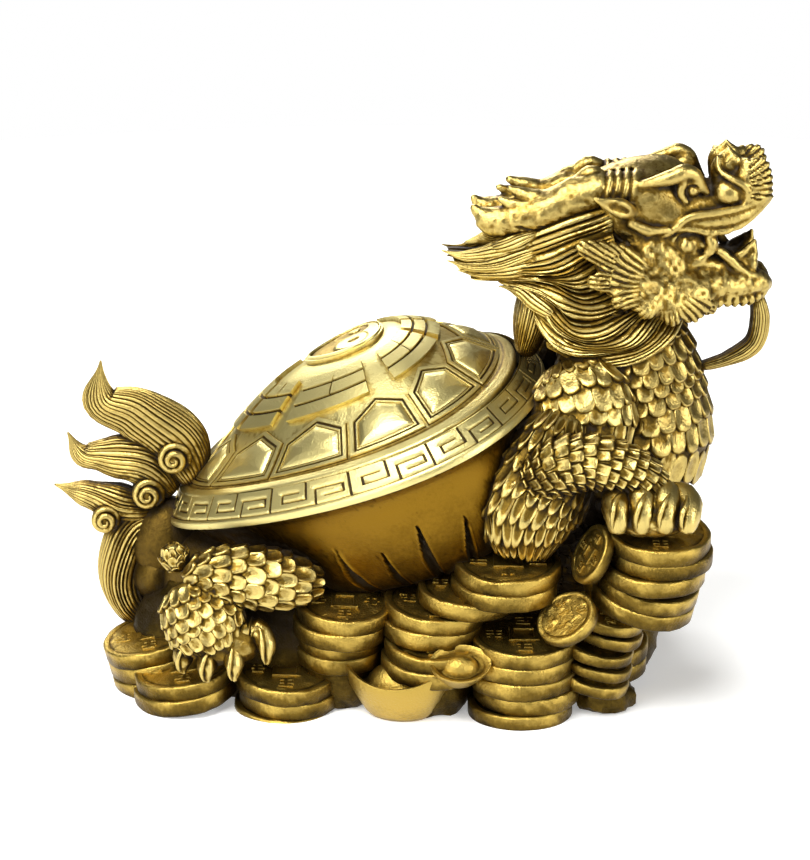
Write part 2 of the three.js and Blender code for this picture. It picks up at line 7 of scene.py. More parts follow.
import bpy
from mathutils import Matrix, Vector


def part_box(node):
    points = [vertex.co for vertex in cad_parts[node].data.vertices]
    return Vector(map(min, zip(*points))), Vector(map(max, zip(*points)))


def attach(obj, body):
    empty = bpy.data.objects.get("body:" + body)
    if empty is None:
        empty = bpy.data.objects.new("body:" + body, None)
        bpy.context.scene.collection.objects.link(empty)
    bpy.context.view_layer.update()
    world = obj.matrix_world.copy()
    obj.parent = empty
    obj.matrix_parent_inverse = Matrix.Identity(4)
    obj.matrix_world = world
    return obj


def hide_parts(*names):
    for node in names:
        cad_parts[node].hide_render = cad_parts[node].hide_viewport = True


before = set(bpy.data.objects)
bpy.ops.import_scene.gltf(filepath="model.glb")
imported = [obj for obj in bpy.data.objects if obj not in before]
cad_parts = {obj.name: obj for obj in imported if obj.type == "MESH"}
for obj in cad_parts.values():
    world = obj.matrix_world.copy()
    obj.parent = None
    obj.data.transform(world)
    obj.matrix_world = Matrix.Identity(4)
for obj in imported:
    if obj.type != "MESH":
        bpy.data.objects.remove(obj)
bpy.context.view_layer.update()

import logging
from dataclasses import dataclass, field
from enum import Enum
from typing import Iterable, Optional, Sequence

import bpy
import numpy as np
from mathutils import Matrix
from numpy.typing import NDArray

Array = NDArray[np.float64]
Point = tuple[float, float, float]
log = logging.getLogger("dragon_turtle")

NODE = "dragon_turtle"
DRAWN_LENGTH = 199.2
LOW, HIGH = (np.array(corner, dtype=float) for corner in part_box(NODE))
UNIT = float(HIGH[0] - LOW[0]) / DRAWN_LENGTH  # metres to one drawn millimetre
NEAR, FAR = -1.0, 1.0
SEED = 41
ROUND = 2 * np.pi
CREASE = 50.0  # degrees over which an edge is drawn sharp
LATTICE_PRIMES = np.array([73856093, 19349663, 83492791])  # so large that neighbouring cells differ
SEED_PRIME, MIX_PRIME = 2654435761, 1274126177
LOW_BITS = 0x7FFFFFFF
STRAND_LINES = np.array([0.0, 0.2, 0.5, 0.8])  # groove, flank, crest and flank across one strand


# Surfaces as whole arrays

def unit(v: Array) -> Array:
    """Vectors at length one."""
    return v / np.maximum(np.linalg.norm(v, axis=-1, keepdims=True), 1e-9)


def smoothstep(x: Array, low: float = 0.0, high: float = 1.0) -> Array:
    """An eased step from 0 at `low` to 1 at `high`."""
    t = np.clip((x - low) / (high - low), 0.0, 1.0)
    return t * t * (3.0 - 2.0 * t)


def bearings(count: int) -> Array:
    """Bearings in radians, evenly round a full turn."""
    return np.linspace(0, ROUND, count, endpoint=False)


def grain(points: Array, size: float, seed: int = 0) -> Array:
    """Smooth noise from -1 to 1, in blobs of about `size` mm.

    Args:
        points: Places in mm, of any shape that ends in 3.
        size: Width of one blob in mm.
        seed: Chooses another noise.

    Returns:
        One value a point: the eased mean of random values at the eight corners of its lattice cell.
    """
    place = points / size
    cell = np.floor(place).astype(np.int64)
    ease = smoothstep(place - cell)
    total = np.zeros(points.shape[:-1])
    for corner in range(8):
        step = np.array([corner & 1, corner >> 1 & 1, corner >> 2 & 1])
        key = (cell + step) * LATTICE_PRIMES
        mixed = (key[..., 0] ^ key[..., 1] ^ key[..., 2] ^ (seed * SEED_PRIME)) & LOW_BITS
        mixed = ((mixed >> 13) ^ mixed) * MIX_PRIME & LOW_BITS
        weight = np.prod(np.where(step == 1, ease, 1.0 - ease), axis=-1)
        total += weight * (mixed / (LOW_BITS >> 1) - 1.0)
    return total


@dataclass
class Skin:
    """A surface in mm: points, four-sided and three-sided faces, each point's tone, 0 groove to 1 ridge."""

    points: Array
    quads: NDArray[np.int64]
    fans: NDArray[np.int64]
    tone: Array

    @classmethod
    def tube(cls, grid: Array, tone: Array, first: Optional[Array] = None,
             last: Optional[Array] = None) -> "Skin":
        """A grid of rings that closes round on itself.

        Args:
            grid: Points of shape (rings, sides, 3).
            tone: Tones of shape (rings, sides).
            first: The point that closes the first ring; without it the rings close on each other.
            last: The point that closes the last ring.

        Returns:
            The closed surface, its faces outwards.
        """
        rings, sides = grid.shape[:2]
        count = rings * sides
        ring = np.arange(rings if first is None else rings - 1)[:, None]
        side = np.arange(sides)[None, :]
        after = (ring + 1) % rings
        beside = (side + 1) % sides
        quads = np.stack(
            [ring * sides + side, after * sides + side, after * sides + beside, ring * sides + beside], -1
        ).reshape(-1, 4)
        points, tones = grid.reshape(-1, 3), tone.reshape(-1)
        fans = np.zeros((0, 3), dtype=np.int64)
        if first is not None and last is not None:
            s, n = np.arange(sides), (np.arange(sides) + 1) % sides
            top = np.stack([np.full(sides, count), s, n], -1)
            foot = np.stack([np.full(sides, count + 1), count - sides + n, count - sides + s], -1)
            fans = np.vstack([top, foot])
            points = np.vstack([points, first, last])
            tones = np.concatenate([tones, [tone[0].mean(), tone[-1].mean()]])
        return cls(points, quads, fans, tones).outward()

    @classmethod
    def sheet(cls, grid: Array, back: Array, tone: Array) -> "Skin":
        """A front grid and a back grid of the same shape, joined round their borders, faces outwards.

        Args:
            grid: Points of the front, of shape (rows, columns, 3).
            back: Points of the back, of the same shape.
            tone: Tones of the front.

        Returns:
            The closed surface.
        """
        rows, cols = grid.shape[:2]
        index = np.arange(rows * cols).reshape(rows, cols)
        front = np.stack([index[:-1, :-1], index[1:, :-1], index[1:, 1:], index[:-1, 1:]], -1).reshape(-1, 4)
        behind = front[:, ::-1] + rows * cols
        loop = np.concatenate([index[0, :-1], index[:-1, -1], index[-1, :0:-1], index[:0:-1, 0]])
        ahead = np.roll(loop, -1)
        rim = np.stack([loop, ahead, ahead + rows * cols, loop + rows * cols], -1)
        points = np.vstack([grid.reshape(-1, 3), back.reshape(-1, 3)])
        tones = np.concatenate([tone.ravel(), 0.4 * tone.ravel()])
        empty = np.zeros((0, 3), dtype=np.int64)
        return cls(points, np.vstack([front, behind, rim]), empty, tones).outward()

    @classmethod
    def copies(cls, points: Array, quads: NDArray[np.int64], fans: NDArray[np.int64], tone: Array) -> "Skin":
        """Many copies of one small closed shape.

        Args:
            points: Points of shape (copies, corners, 3).
            quads: Four-sided faces of one copy.
            fans: Three-sided faces of one copy.
            tone: Tones of shape (copies, corners).

        Returns:
            The copies as one surface, each with its faces outwards.
        """
        copies, corners = points.shape[:2]
        shift = (np.arange(copies) * corners)[:, None, None]
        return cls(
            points.reshape(-1, 3), (quads + shift).reshape(-1, 4), (fans + shift).reshape(-1, 3),
            tone.reshape(-1)
        )

    @classmethod
    def join(cls, parts: Iterable["Skin"]) -> "Skin":
        """Several surfaces as one.

        Args:
            parts: The surfaces.

        Returns:
            One surface with all their points and faces.
        """
        parts = list(parts)
        starts = np.cumsum([0] + [len(p.points) for p in parts[:-1]])
        return cls(
            np.vstack([p.points for p in parts]),
            np.vstack([p.quads + s for p, s in zip(parts, starts)]),
            np.vstack([p.fans + s for p, s in zip(parts, starts)]),
            np.concatenate([p.tone for p in parts]),
        )

    def outward(self) -> "Skin":
        """The same closed surface with its faces turned outwards, told by the sign of its volume."""
        centre = self.points.mean(axis=0)
        tris = np.vstack([self.quads[:, [0, 1, 2]], self.quads[:, [0, 2, 3]], self.fans])
        a, b, c = (self.points[tris[:, k]] - centre for k in range(3))
        if np.sum(np.cross(a, b) * c) < 0:
            self.quads, self.fans = self.quads[:, ::-1], self.fans[:, ::-1]
        return self

    def triangles(self) -> int:
        """How many triangles the surface has."""
        return 2 * len(self.quads) + len(self.fans)

    def normals(self) -> Array:
        """The mean direction of the faces round each point.

        Returns:
            Unit vectors: the faces' cross products, summed at each point.
        """
        total = np.zeros_like(self.points)
        for faces in (self.quads[:, [0, 1, 2]], self.quads[:, [0, 2, 3]], self.fans):
            a, b, c = (self.points[faces[:, k]] for k in range(3))
            face = np.cross(b - a, c - a)
            for k in range(3):
                for axis in range(3):
                    total[:, axis] += np.bincount(faces[:, k], face[:, axis], len(total))
        return unit(total)


def grid_normals(grid: Array, inside: Array) -> Array:
    """Directions square to a grid of rings that closes round, pointing away from the point inside each ring.

    Args:
        grid: Points of shape (rings, sides, 3).
        inside: A point inside each ring.

    Returns:
        Unit vectors: the cross product of the steps along and round the grid.
    """
    down = np.gradient(grid, axis=0)
    across = np.roll(grid, -1, axis=1) - np.roll(grid, 1, axis=1)
    normal = unit(np.cross(down, across))
    side = np.sum(normal * (grid - inside), axis=-1).mean()
    return normal * (1.0 if side > 0 else -1.0)


# Paths and limbs

def smooth_line(points: Array, shares: Array) -> Array:
    """The centripetal curve through some points, at shares of its length.

    Args:
        points: Points of shape (count, 3).
        shares: Shares of the length, of any shape.

    Returns:
        The points there, of shape (*shares.shape, 3).
    """
    ends = np.vstack([2 * points[0] - points[1], points, 2 * points[-1] - points[-2]])
    gap = np.maximum(np.linalg.norm(np.diff(ends, axis=0), axis=1) ** 0.5, 1e-4)
    fine = np.linspace(0.0, len(points) - 1.0, 60 * (len(points) - 1) + 1)
    i = np.minimum(fine.astype(int), len(points) - 2)
    w = (fine - i)[:, None]
    x0, x1, x2, x3 = (ends[i + k] for k in range(4))
    d0, d1, d2 = (gap[i + k][:, None] for k in range(3))
    m1 = ((x1 - x0) / d0 - (x2 - x0) / (d0 + d1) + (x2 - x1) / d1) * d1
    m2 = ((x2 - x1) / d1 - (x3 - x1) / (d1 + d2) + (x3 - x2) / d2) * d1
    curve = x1 + m1 * w + (3 * (x2 - x1) - 2 * m1 - m2) * w**2 + (2 * (x1 - x2) + m1 + m2) * w**3
    run = np.concatenate([[0.0], np.cumsum(np.linalg.norm(np.diff(curve, axis=0), axis=1))])
    place = np.clip(shares, 0.0, 1.0) * run[-1]
    return np.stack([np.interp(place, run, curve[:, k]) for k in range(3)], -1)


def eased(values: Sequence[float], shares: Array) -> Array:
    """A short list of values, eased between its entries, at shares of the way along it.

    Args:
        values: The entries, evenly spread.
        shares: Shares of the way, of any shape.

    Returns:
        One value a share.
    """
    listed = np.asarray(values, dtype=float)
    place = np.clip(shares, 0.0, 1.0) * (len(listed) - 1)
    i = np.minimum(place.astype(int), len(listed) - 2)
    ease = smoothstep(place - i)
    return listed[i] * (1 - ease) + listed[i + 1] * ease


def strand_lines(dice: np.random.Generator, count: int, widths: tuple[float, float],
                 depths: tuple[float, float], flank: float) -> tuple[Array, Array]:
    """Strands of uneven width side by side, each a groove, a flank, a crest and a flank.

    Args:
        dice: Draws the widths, then the depths.
        count: How many strands.
        widths: Least and greatest width, to each other.
        depths: Least and greatest depth of the groove.
        flank: Depth of the flanks, to the groove.

    Returns:
        Each line's share of the way across, and its height, 0 on the crest.
    """
    width = dice.uniform(*widths, count)
    edge = np.concatenate([[0.0], np.cumsum(width)])[:-1] / width.sum()
    place = edge[:, None] + STRAND_LINES * (width / width.sum())[:, None]
    height = np.array([-1.0, -flank, 0.0, -flank]) * dice.uniform(*depths, (count, 1))
    return place.ravel(), height.ravel()


@dataclass(frozen=True)
class Relief:
    """How a limb's surface is worked.

    Attributes:
        strand: Mean width of a strand of hair in mm, or 0 for none.
        depth: Depth of the grooves between strands in mm.
        wave: How far the strands wander round the limb, in radians.
        rough: Height of the cast grain in mm.
        grain_size: Width of the grain in mm.
    """

    strand: float = 0.0
    depth: float = 0.5
    wave: float = 0.16
    rough: float = 0.05
    grain_size: float = 1.6


SMOOTH = Relief()
STIPPLE = Relief(rough=0.22, grain_size=1.3)
HAIR = Relief(strand=1.5, depth=0.62)
FINE_HAIR = Relief(strand=1.2, depth=0.45, wave=0.1)


@dataclass(frozen=True)
class Limb:
    """A closed tube with round ends along a smooth path, as in the solid.

    Attributes:
        path: Points that the middle line passes.
        broad: Half widths across `face`, eased along the path.
        thick: Half thicknesses along `face`.
        face: The direction of the thin way.
        blunt: How square the ends are, from 1 round to 0 cut off.
        relief: How the surface is worked.
    """

    path: Sequence[Point]
    broad: Sequence[float]
    thick: Sequence[float]
    face: Point = (0.0, 1.0, 0.0)
    blunt: float = 0.55
    relief: Relief = SMOOTH

    def side(self, side: float) -> "Limb":
        """The same limb with Y turned to one side.

        Args:
            side: NEAR or FAR.

        Returns:
            The limb on that side.
        """
        turned = [(x, y * side, z) for x, y, z in self.path]
        fx, fy, fz = self.face
        return Limb(turned, self.broad, self.thick, (fx, fy * side, fz), self.blunt, self.relief)

    def length(self) -> float:
        """Length of the middle line in mm."""
        line = smooth_line(np.array(self.path, float), np.linspace(0, 1, 60))
        return float(np.linalg.norm(np.diff(line, axis=0), axis=1).sum())

    def place(self, share: Array, turn: Array) -> tuple[Array, Array]:
        """The middle line's point plus an ellipse across it, whose half sizes shrink to nothing at both ends.

        Args:
            share: Share of the way along, any shape.
            turn: Bearing round the limb in radians, same shape.

        Returns:
            The surface points, and the middle line's points.
        """
        points = np.array(self.path, float)
        line = smooth_line(points, share)
        step = 4e-3
        along = unit(smooth_line(points, share + step) - smooth_line(points, share - step))
        face = np.array(self.face, float)
        up = unit(face - along * (along @ face)[..., None])
        across = np.cross(along, up)
        swell = np.maximum(2 * np.sqrt(np.clip(share * (1 - share), 0, 1)), 1e-6) ** self.blunt
        wide = (np.cos(turn) * eased(self.broad, share) * swell)[..., None]
        tall = (np.sin(turn) * eased(self.thick, share) * swell)[..., None]
        return line + across * wide + up * tall, line

    def skin(self, rings: int, sides: int = 0, seed: int = 0) -> Skin:
        """The limb's surface, pushed in along its grooves and out along its ridges.

        Args:
            rings: Rings along the limb.
            sides: Points round the limb, where it has no strands to set them.
            seed: Chooses the strands and the grain.

        Returns:
            The closed surface.
        """
        relief = self.relief
        girth = ROUND * np.sqrt((np.max(self.broad) ** 2 + np.max(self.thick) ** 2) / 2)
        dice = np.random.default_rng(SEED + seed)
        if relief.strand > 0:
            count = max(5, int(round(girth / relief.strand)))
            place, shape = strand_lines(dice, count, (0.65, 1.4), (0.7, 1.15), 0.28)
            turns = place * ROUND
        else:
            turns = bearings(sides)
            shape = np.zeros(sides)
        theta = np.linspace(0, np.pi, rings + 2)[1:-1]
        share = 0.55 * (1 - np.cos(theta)) / 2 + 0.45 * theta / np.pi
        drift = 0 * share
        if relief.strand:
            drift = relief.wave * np.sin(ROUND * share * 1.3 + dice.uniform(0, 6))
        s, turn = np.meshgrid(share, turns, indexing="ij")
        turn = turn + drift[:, None]
        grid, line = self.place(s, turn)
        normal = grid_normals(grid, line)
        slim = np.clip(2.0 * np.sqrt(s * (1 - s)), 0, 1) * np.clip(eased(self.broad, s) / np.max(self.broad),
                                                                   0.25, 1)
        height = relief.depth * slim * shape[None, :]
        tone = np.clip(1.0 + shape, 0, 1)[None, :] * np.ones_like(s)
        noise = grain(grid + 100.0, relief.grain_size, seed) + 0.5 * grain(grid, relief.grain_size / 2,
                                                                           seed + 7)
        height += relief.rough * noise
        tone = np.clip(tone + 0.12 * noise * (relief.rough > 0.1), 0, 1)
        ends = smooth_line(np.array(self.path, float), np.array([0.0, 1.0]))
        return Skin.tube(grid + normal * height[..., None], tone, ends[0], ends[1])


def ball_grid(rings: int, sides: int) -> tuple[Array, Array]:
    """A ball of radius 1 as level rings between its two poles.

    Args:
        rings: Rings between the poles.
        sides: Points round each.

    Returns:
        The points, and their bearings.
    """
    theta, phi = np.meshgrid(np.linspace(0, np.pi, rings + 2)[1:-1], bearings(sides), indexing="ij")
    return np.stack([np.sin(theta) * np.cos(phi), np.sin(theta) * np.sin(phi), np.cos(theta)], -1), phi


def lump(centre: Point, radii: Point, rings: int = 16, sides: int = 24, rough: float = 0.08,
         seed: int = 0) -> Skin:
    """A ball with three half sizes in mm, roughened by cast grain.

    Args:
        centre: Its middle.
        radii: Its half sizes along X, Y and Z.
        rings: Rings between its poles.
        sides: Points round it.
        rough: Height of the grain in mm.
        seed: Chooses the grain.

    Returns:
        The closed surface.
    """
    ball, _ = ball_grid(rings, sides)
    grid = np.array(centre) + ball * np.array(radii)
    noise = grain(grid + 60.0, 1.5, seed)
    up = np.array([0.0, 0.0, radii[2]])
    tone = np.clip(0.85 + 0.15 * noise, 0, 1)
    return Skin.tube(grid + ball * (rough * noise)[..., None], tone, np.array(centre) + up,
                     np.array(centre) - up)


# Forms worked up like clay

@dataclass
class Clay:
    """A form alike on both sides of the middle plane: distances in mm from its surface, below 0 inside.

    Attributes:
        low: Lowest corner of the block, on the middle plane.
        high: Highest corner.
        cell: Distance between the places where the distance is kept.
    """

    low: Point
    high: Point
    cell: float
    far: Array = field(init=False)

    def __post_init__(self) -> None:
        """Starts with an empty block."""
        counts = np.ceil((np.array(self.high) - np.array(self.low)) / self.cell).astype(int) + 1
        self.far = np.full(tuple(counts), 50.0)

    def merge(self, path: Array, radii: Array, blend: float, squash: Point, cut: bool) -> None:
        """Adds or cuts a chain of tapered pieces.

        The distance to a piece is that to its middle line less its radius there. Two distances a and b join
        as the smaller one, less a rounding that is largest where they are equal.

        Args:
            path: Points of the chain, of shape (count, 3).
            radii: Radius at each point.
            blend: Width in mm over which the surfaces flow together.
            squash: Share of the radius that is kept in each direction.
            cut: Whether the chain is cut out.
        """
        scale = np.array(squash)
        reach = radii.max() * scale.max() + blend + 2 * self.cell
        size = np.array(self.far.shape)
        first = np.clip(np.floor((path.min(axis=0) - reach - self.low) / self.cell).astype(int), 0, size - 1)
        last = np.clip(np.ceil((path.max(axis=0) + reach - self.low) / self.cell).astype(int) + 1, 1, size)
        axes = [np.arange(a, b) * self.cell + o for a, b, o in zip(first, last, self.low)]
        place = np.stack(np.meshgrid(*axes, indexing="ij"), -1) / scale
        line = path / scale
        near = np.full(place.shape[:-1], 50.0)
        for a, b, ra, rb in zip(line[:-1], line[1:], radii[:-1], radii[1:]):
            step = b - a
            share = np.clip(((place - a) @ step) / max(step @ step, 1e-9), 0, 1)
            gap = np.linalg.norm(place - a - share[..., None] * step, axis=-1) - (ra + (rb - ra) * share)
            near = np.minimum(near, gap)
        near *= scale.min()
        window = tuple(slice(a, b) for a, b in zip(first, last))
        there = -self.far[window] if cut else self.far[window]
        part = np.clip(0.5 + 0.5 * (there - near) / blend, 0, 1)
        joined = there * (1 - part) + near * part - blend * part * (1 - part)
        self.far[window] = -joined if cut else joined

    def rope(self, path: Sequence[Point], radii: Sequence[float], blend: float = 1.0,
             squash: Point = (1.0, 1.0, 1.0), cut: bool = False) -> None:
        """Adds or cuts a tapered rope along a smooth line through some points.

        Args:
            path: Points that its middle passes.
            radii: Its radii, evenly spread along it.
            blend: Width in mm over which it flows into the rest.
            squash: Share of the radius kept in each direction.
            cut: Whether it is cut out.
        """
        points = np.array(path, float)
        run = np.linalg.norm(np.diff(points, axis=0), axis=1).sum()
        shares = np.linspace(0, 1, max(3, int(run / 1.3) + 2))
        self.merge(smooth_line(points, shares), np.interp(shares, np.linspace(0, 1, len(radii)), radii),
                   blend,
                   squash, cut)

    def ball(self, centre: Point, radii: Point, blend: float = 1.0, cut: bool = False) -> None:
        """Adds or cuts a ball with three half sizes."""
        self.merge(np.array([centre, centre], float), np.full(2, 1.0), blend, radii, cut)

    def skin(self) -> Skin:
        """The surface: a point in each crossed cell, at the mean of where the cell's edges are crossed.

        The block is mirrored in the middle plane first. Each crossed edge joins the points of the four cells
        round it.
        """
        block = np.concatenate([self.far[:, :0:-1], self.far], axis=1)
        start = np.array(self.low) - [0, (self.far.shape[1] - 1) * self.cell, 0]
        cells = tuple(n - 1 for n in block.shape)
        total, count = np.zeros(cells + (3,)), np.zeros(cells)
        quads = []
        number = np.full(cells, -1, dtype=np.int64)
        crossings = []
        for axis in range(3):
            ahead = np.moveaxis(block, axis, 0)
            a, b = ahead[:-1], ahead[1:]
            crossed = (a < 0) != (b < 0)
            share = np.where(crossed, a / np.where(crossed, a - b, 1.0), 0.0)
            crossings.append((np.moveaxis(crossed, 0, axis), np.moveaxis(share, 0, axis),
                              np.moveaxis(a < 0, 0, axis)))
        corner = np.stack(np.meshgrid(*(np.arange(n) for n in cells), indexing="ij"), -1).astype(float)
        for axis, (crossed, share, _) in enumerate(crossings):
            others = [k for k in range(3) if k != axis]
            for u in (0, 1):
                for v in (0, 1):
                    shift = [0, 0, 0]
                    shift[others[0]], shift[others[1]] = u, v
                    window = tuple(slice(s, s + n) for s, n in zip(shift, cells))
                    hit = crossed[window]
                    spot = corner + np.array(shift, float)
                    spot[..., axis] += share[window]
                    total += spot * hit[..., None]
                    count += hit
        used = count > 0
        number[used] = np.arange(used.sum())
        points = start + total[used] / count[used][:, None] * self.cell
        for axis, (crossed, _, below) in enumerate(crossings):
            u, v = [(1, 2), (2, 0), (0, 1)][axis]
            place = np.argwhere(crossed)
            inner = np.all([(place[:, k] > 0) & (place[:, k] < cells[k]) for k in (u, v)], axis=0)
            place = place[inner]
            corners = []
            for du, dv in ((-1, -1), (0, -1), (0, 0), (-1, 0)):
                spot = place.copy()
                spot[:, u] += du
                spot[:, v] += dv
                corners.append(number[tuple(spot.T)])
            face = np.stack(corners, -1)
            turned = ~below[tuple(place.T)]
            face[turned] = face[turned][:, ::-1]
            quads.append(face)
        empty = np.zeros((0, 3), dtype=np.int64)
        return Skin(points, np.vstack(quads), empty, np.ones(len(points)))


def hollows(skin: Skin, rounds: int = 3, level: float = 0.62, gain: float = 2.8) -> Array:
    """A tone from how far each point lies below the mean of the points round it.

    Args:
        skin: The surface, all of four-sided faces.
        rounds: How often the mean is taken, each time over a wider ring of points.
        level: Tone of even ground.
        gain: How much the tone falls for each mm of depth.

    Returns:
        One tone a point.
    """
    a, b = skin.quads.ravel(), np.roll(skin.quads, -1, axis=1).ravel()
    least = len(skin.points)
    count = np.maximum(np.bincount(a, minlength=least) + np.bincount(b, minlength=least), 1)
    normal = skin.normals()
    around = skin.points
    for _ in range(rounds):
        around = np.stack([
            np.bincount(a, around[b, k], len(count)) + np.bincount(b, around[a, k],
                                                                   len(count)) for k in range(3)
        ], -1) / count[:, None]
    below = np.sum((around - skin.points) * normal, axis=1)
    return np.clip(level - gain * below, 0, 1)


# Scales

class ScaleCut(Enum):
    """A scale's outline: powers that square its free end and its root, its length and width to its seat."""

    SHIELD = (0.75, 0.9, 0.78, 0.60)
    BAND = (0.35, 0.5, 0.62, 0.52)
    FEATHER = (1.0, 0.8, 0.86, 0.56)


@dataclass(frozen=True)
class Scales:
    """Rows of scales over part of a limb.

    Attributes:
        cut: Outline of each scale.
        length: Distance between rows in mm.
        width: Distance between scales in a row in mm.
        share: First and last share of the limb that they cover.
        flow: 1 when the free edges point along the path, -1 when they point back.
        height: How far a scale's middle stands off the skin in mm.
        tilt: How far its free edge is lifted in mm.
        bare: Tone of its middle, whose edge is always rubbed.
    """

    cut: ScaleCut
    length: float
    width: float
    share: tuple[float, float]
    flow: float = 1.0
    height: float = 0.55
    tilt: float = 0.5
    bare: float = 0.66

    def over(self, limb: Limb, seed: int) -> Skin:
        """The scales on a limb, each row half a scale beside the one before.

        Args:
            limb: The limb that they lie on.
            seed: Chooses how they vary.

        Returns:
            The scales as one surface: each a low shield with a centre, a middle ring, an edge and a sunk foot.
        """
        dice = np.random.default_rng(SEED + seed)
        span = self.share[1] - self.share[0]
        rows = max(2, int(round(span * limb.length() / self.length)))
        share = self.share[0] + span * (np.arange(rows) + 0.5) / rows
        mid = np.linspace(0, ROUND, 49)
        ring, _ = limb.place(np.full(49, np.mean(self.share)), mid)
        girth = float(np.linalg.norm(np.diff(ring, axis=0), axis=1).sum())
        cols = max(3, int(round(girth / self.width)))
        step = ROUND / cols
        turn = step * (np.arange(cols)[None, :] + 0.25 + 0.5 * (np.arange(rows)[:, None] % 2))
        s = np.repeat(share[:, None], cols, axis=1) + dice.normal(0, 0.06, (rows, cols)) * span / rows
        turn = turn + dice.normal(0, 0.04, (rows, cols)) * step
        s, turn = s.ravel(), turn.ravel()
        here, line = limb.place(s, turn)
        ds, dt = 0.3 * span / rows, 0.3 * step
        long = limb.place(s + ds, turn)[0] - limb.place(s - ds, turn)[0]
        wide = limb.place(s, turn + dt)[0] - limb.place(s, turn - dt)[0]
        reach = np.minimum(np.linalg.norm(long, axis=1) / 0.6, 1.7 * self.length)
        breadth = np.minimum(np.linalg.norm(wide, axis=1) / 0.6, 1.5 * self.width)
        ahead = unit(long) * self.flow
        out = unit(np.cross(long, wide))
        out *= np.sign(np.sum(out * (here - line), axis=1, keepdims=True))
        beside = np.cross(out, ahead)
        spin = dice.normal(0, 0.07, (len(s), 1))
        ahead, beside = (ahead * np.cos(spin) + beside * np.sin(spin),
                         beside * np.cos(spin) - ahead * np.sin(spin))
        free, root, long_share, wide_share = self.cut.value
        sides = 12
        angle = np.arange(sides) / sides * ROUND
        power = np.where(np.cos(angle) > -0.1, free, root)
        x = np.sign(np.cos(angle)) * np.abs(np.cos(angle)) ** power
        y = np.sign(np.sin(angle)) * np.abs(np.sin(angle)) ** power
        size = dice.uniform(0.88, 1.12, (len(s), 1))
        # Each ring's share of the way out, its rise to the scale's height, and its tone.
        rings = ((0.42, 0.45, self.bare), (0.8, 0.95, 1.0), (1.0, 0.2, 0.3), (0.98, -1.6, 0.0))
        points, tones = [], []
        for share_out, rise, worn in rings:
            forward = x * share_out
            lift = self.height * rise + self.tilt * forward * (rise > 0)
            points.append(
                here[:, None]
                + ahead[:, None] * (forward * reach[:, None] * size * long_share)[..., None]
                + beside[:, None] * (y * share_out * breadth[:, None] * size * wide_share)[..., None]
                + out[:, None] * (lift * np.ones((len(s), 1)))[..., None]
            )
            tones.append(np.full((len(s), sides), worn))
        centre = here + out * self.height * 0.5
        foot = here - out * 1.6 * self.height
        every = np.concatenate(points + [centre[:, None], foot[:, None]], axis=1)
        tone = np.concatenate(tones + [np.full((len(s), 1), self.bare), np.zeros((len(s), 1))], axis=1)
        a, b = np.arange(sides), (np.arange(sides) + 1) % sides
        quads = np.vstack([np.stack([r * sides + a, r * sides + sides + a, r * sides + sides + b,
                                     r * sides + b], -1)
                           for r in range(3)])
        top = np.stack([np.full(sides, 4 * sides), a, b], -1)
        under = np.stack([np.full(sides, 4 * sides + 1), 3 * sides + b, 3 * sides + a], -1)
        return Skin.copies(every, quads, np.vstack([top, under]), tone)


# Finishes

def colour(code: str) -> tuple[float, float, float, float]:
    """An sRGB hex colour as linear values."""
    parts = [int(code[i:i + 2], 16) / 255 for i in (1, 3, 5)]
    linear = [p / 12.92 if p <= 0.04045 else ((p + 0.055) / 1.055) ** 2.4 for p in parts]
    return (linear[0], linear[1], linear[2], 1.0)


def add_node(tree: bpy.types.NodeTree, kind: str, inputs: Optional[dict] = None,
             **options: object) -> bpy.types.Node:
    """A new node.

    Args:
        tree: The node tree.
        kind: The node's type name.
        inputs: For each input's name or number, a value, or a socket to link from.
        options: Properties to set on the node.

    Returns:
        The node.
    """
    node = tree.nodes.new(kind)
    for name, value in options.items():
        setattr(node, name, value)
    for name, value in (inputs or {}).items():
        if isinstance(value, bpy.types.NodeSocket):
            tree.links.new(value, node.inputs[name])
        else:
            node.inputs[name].default_value = value
    return node


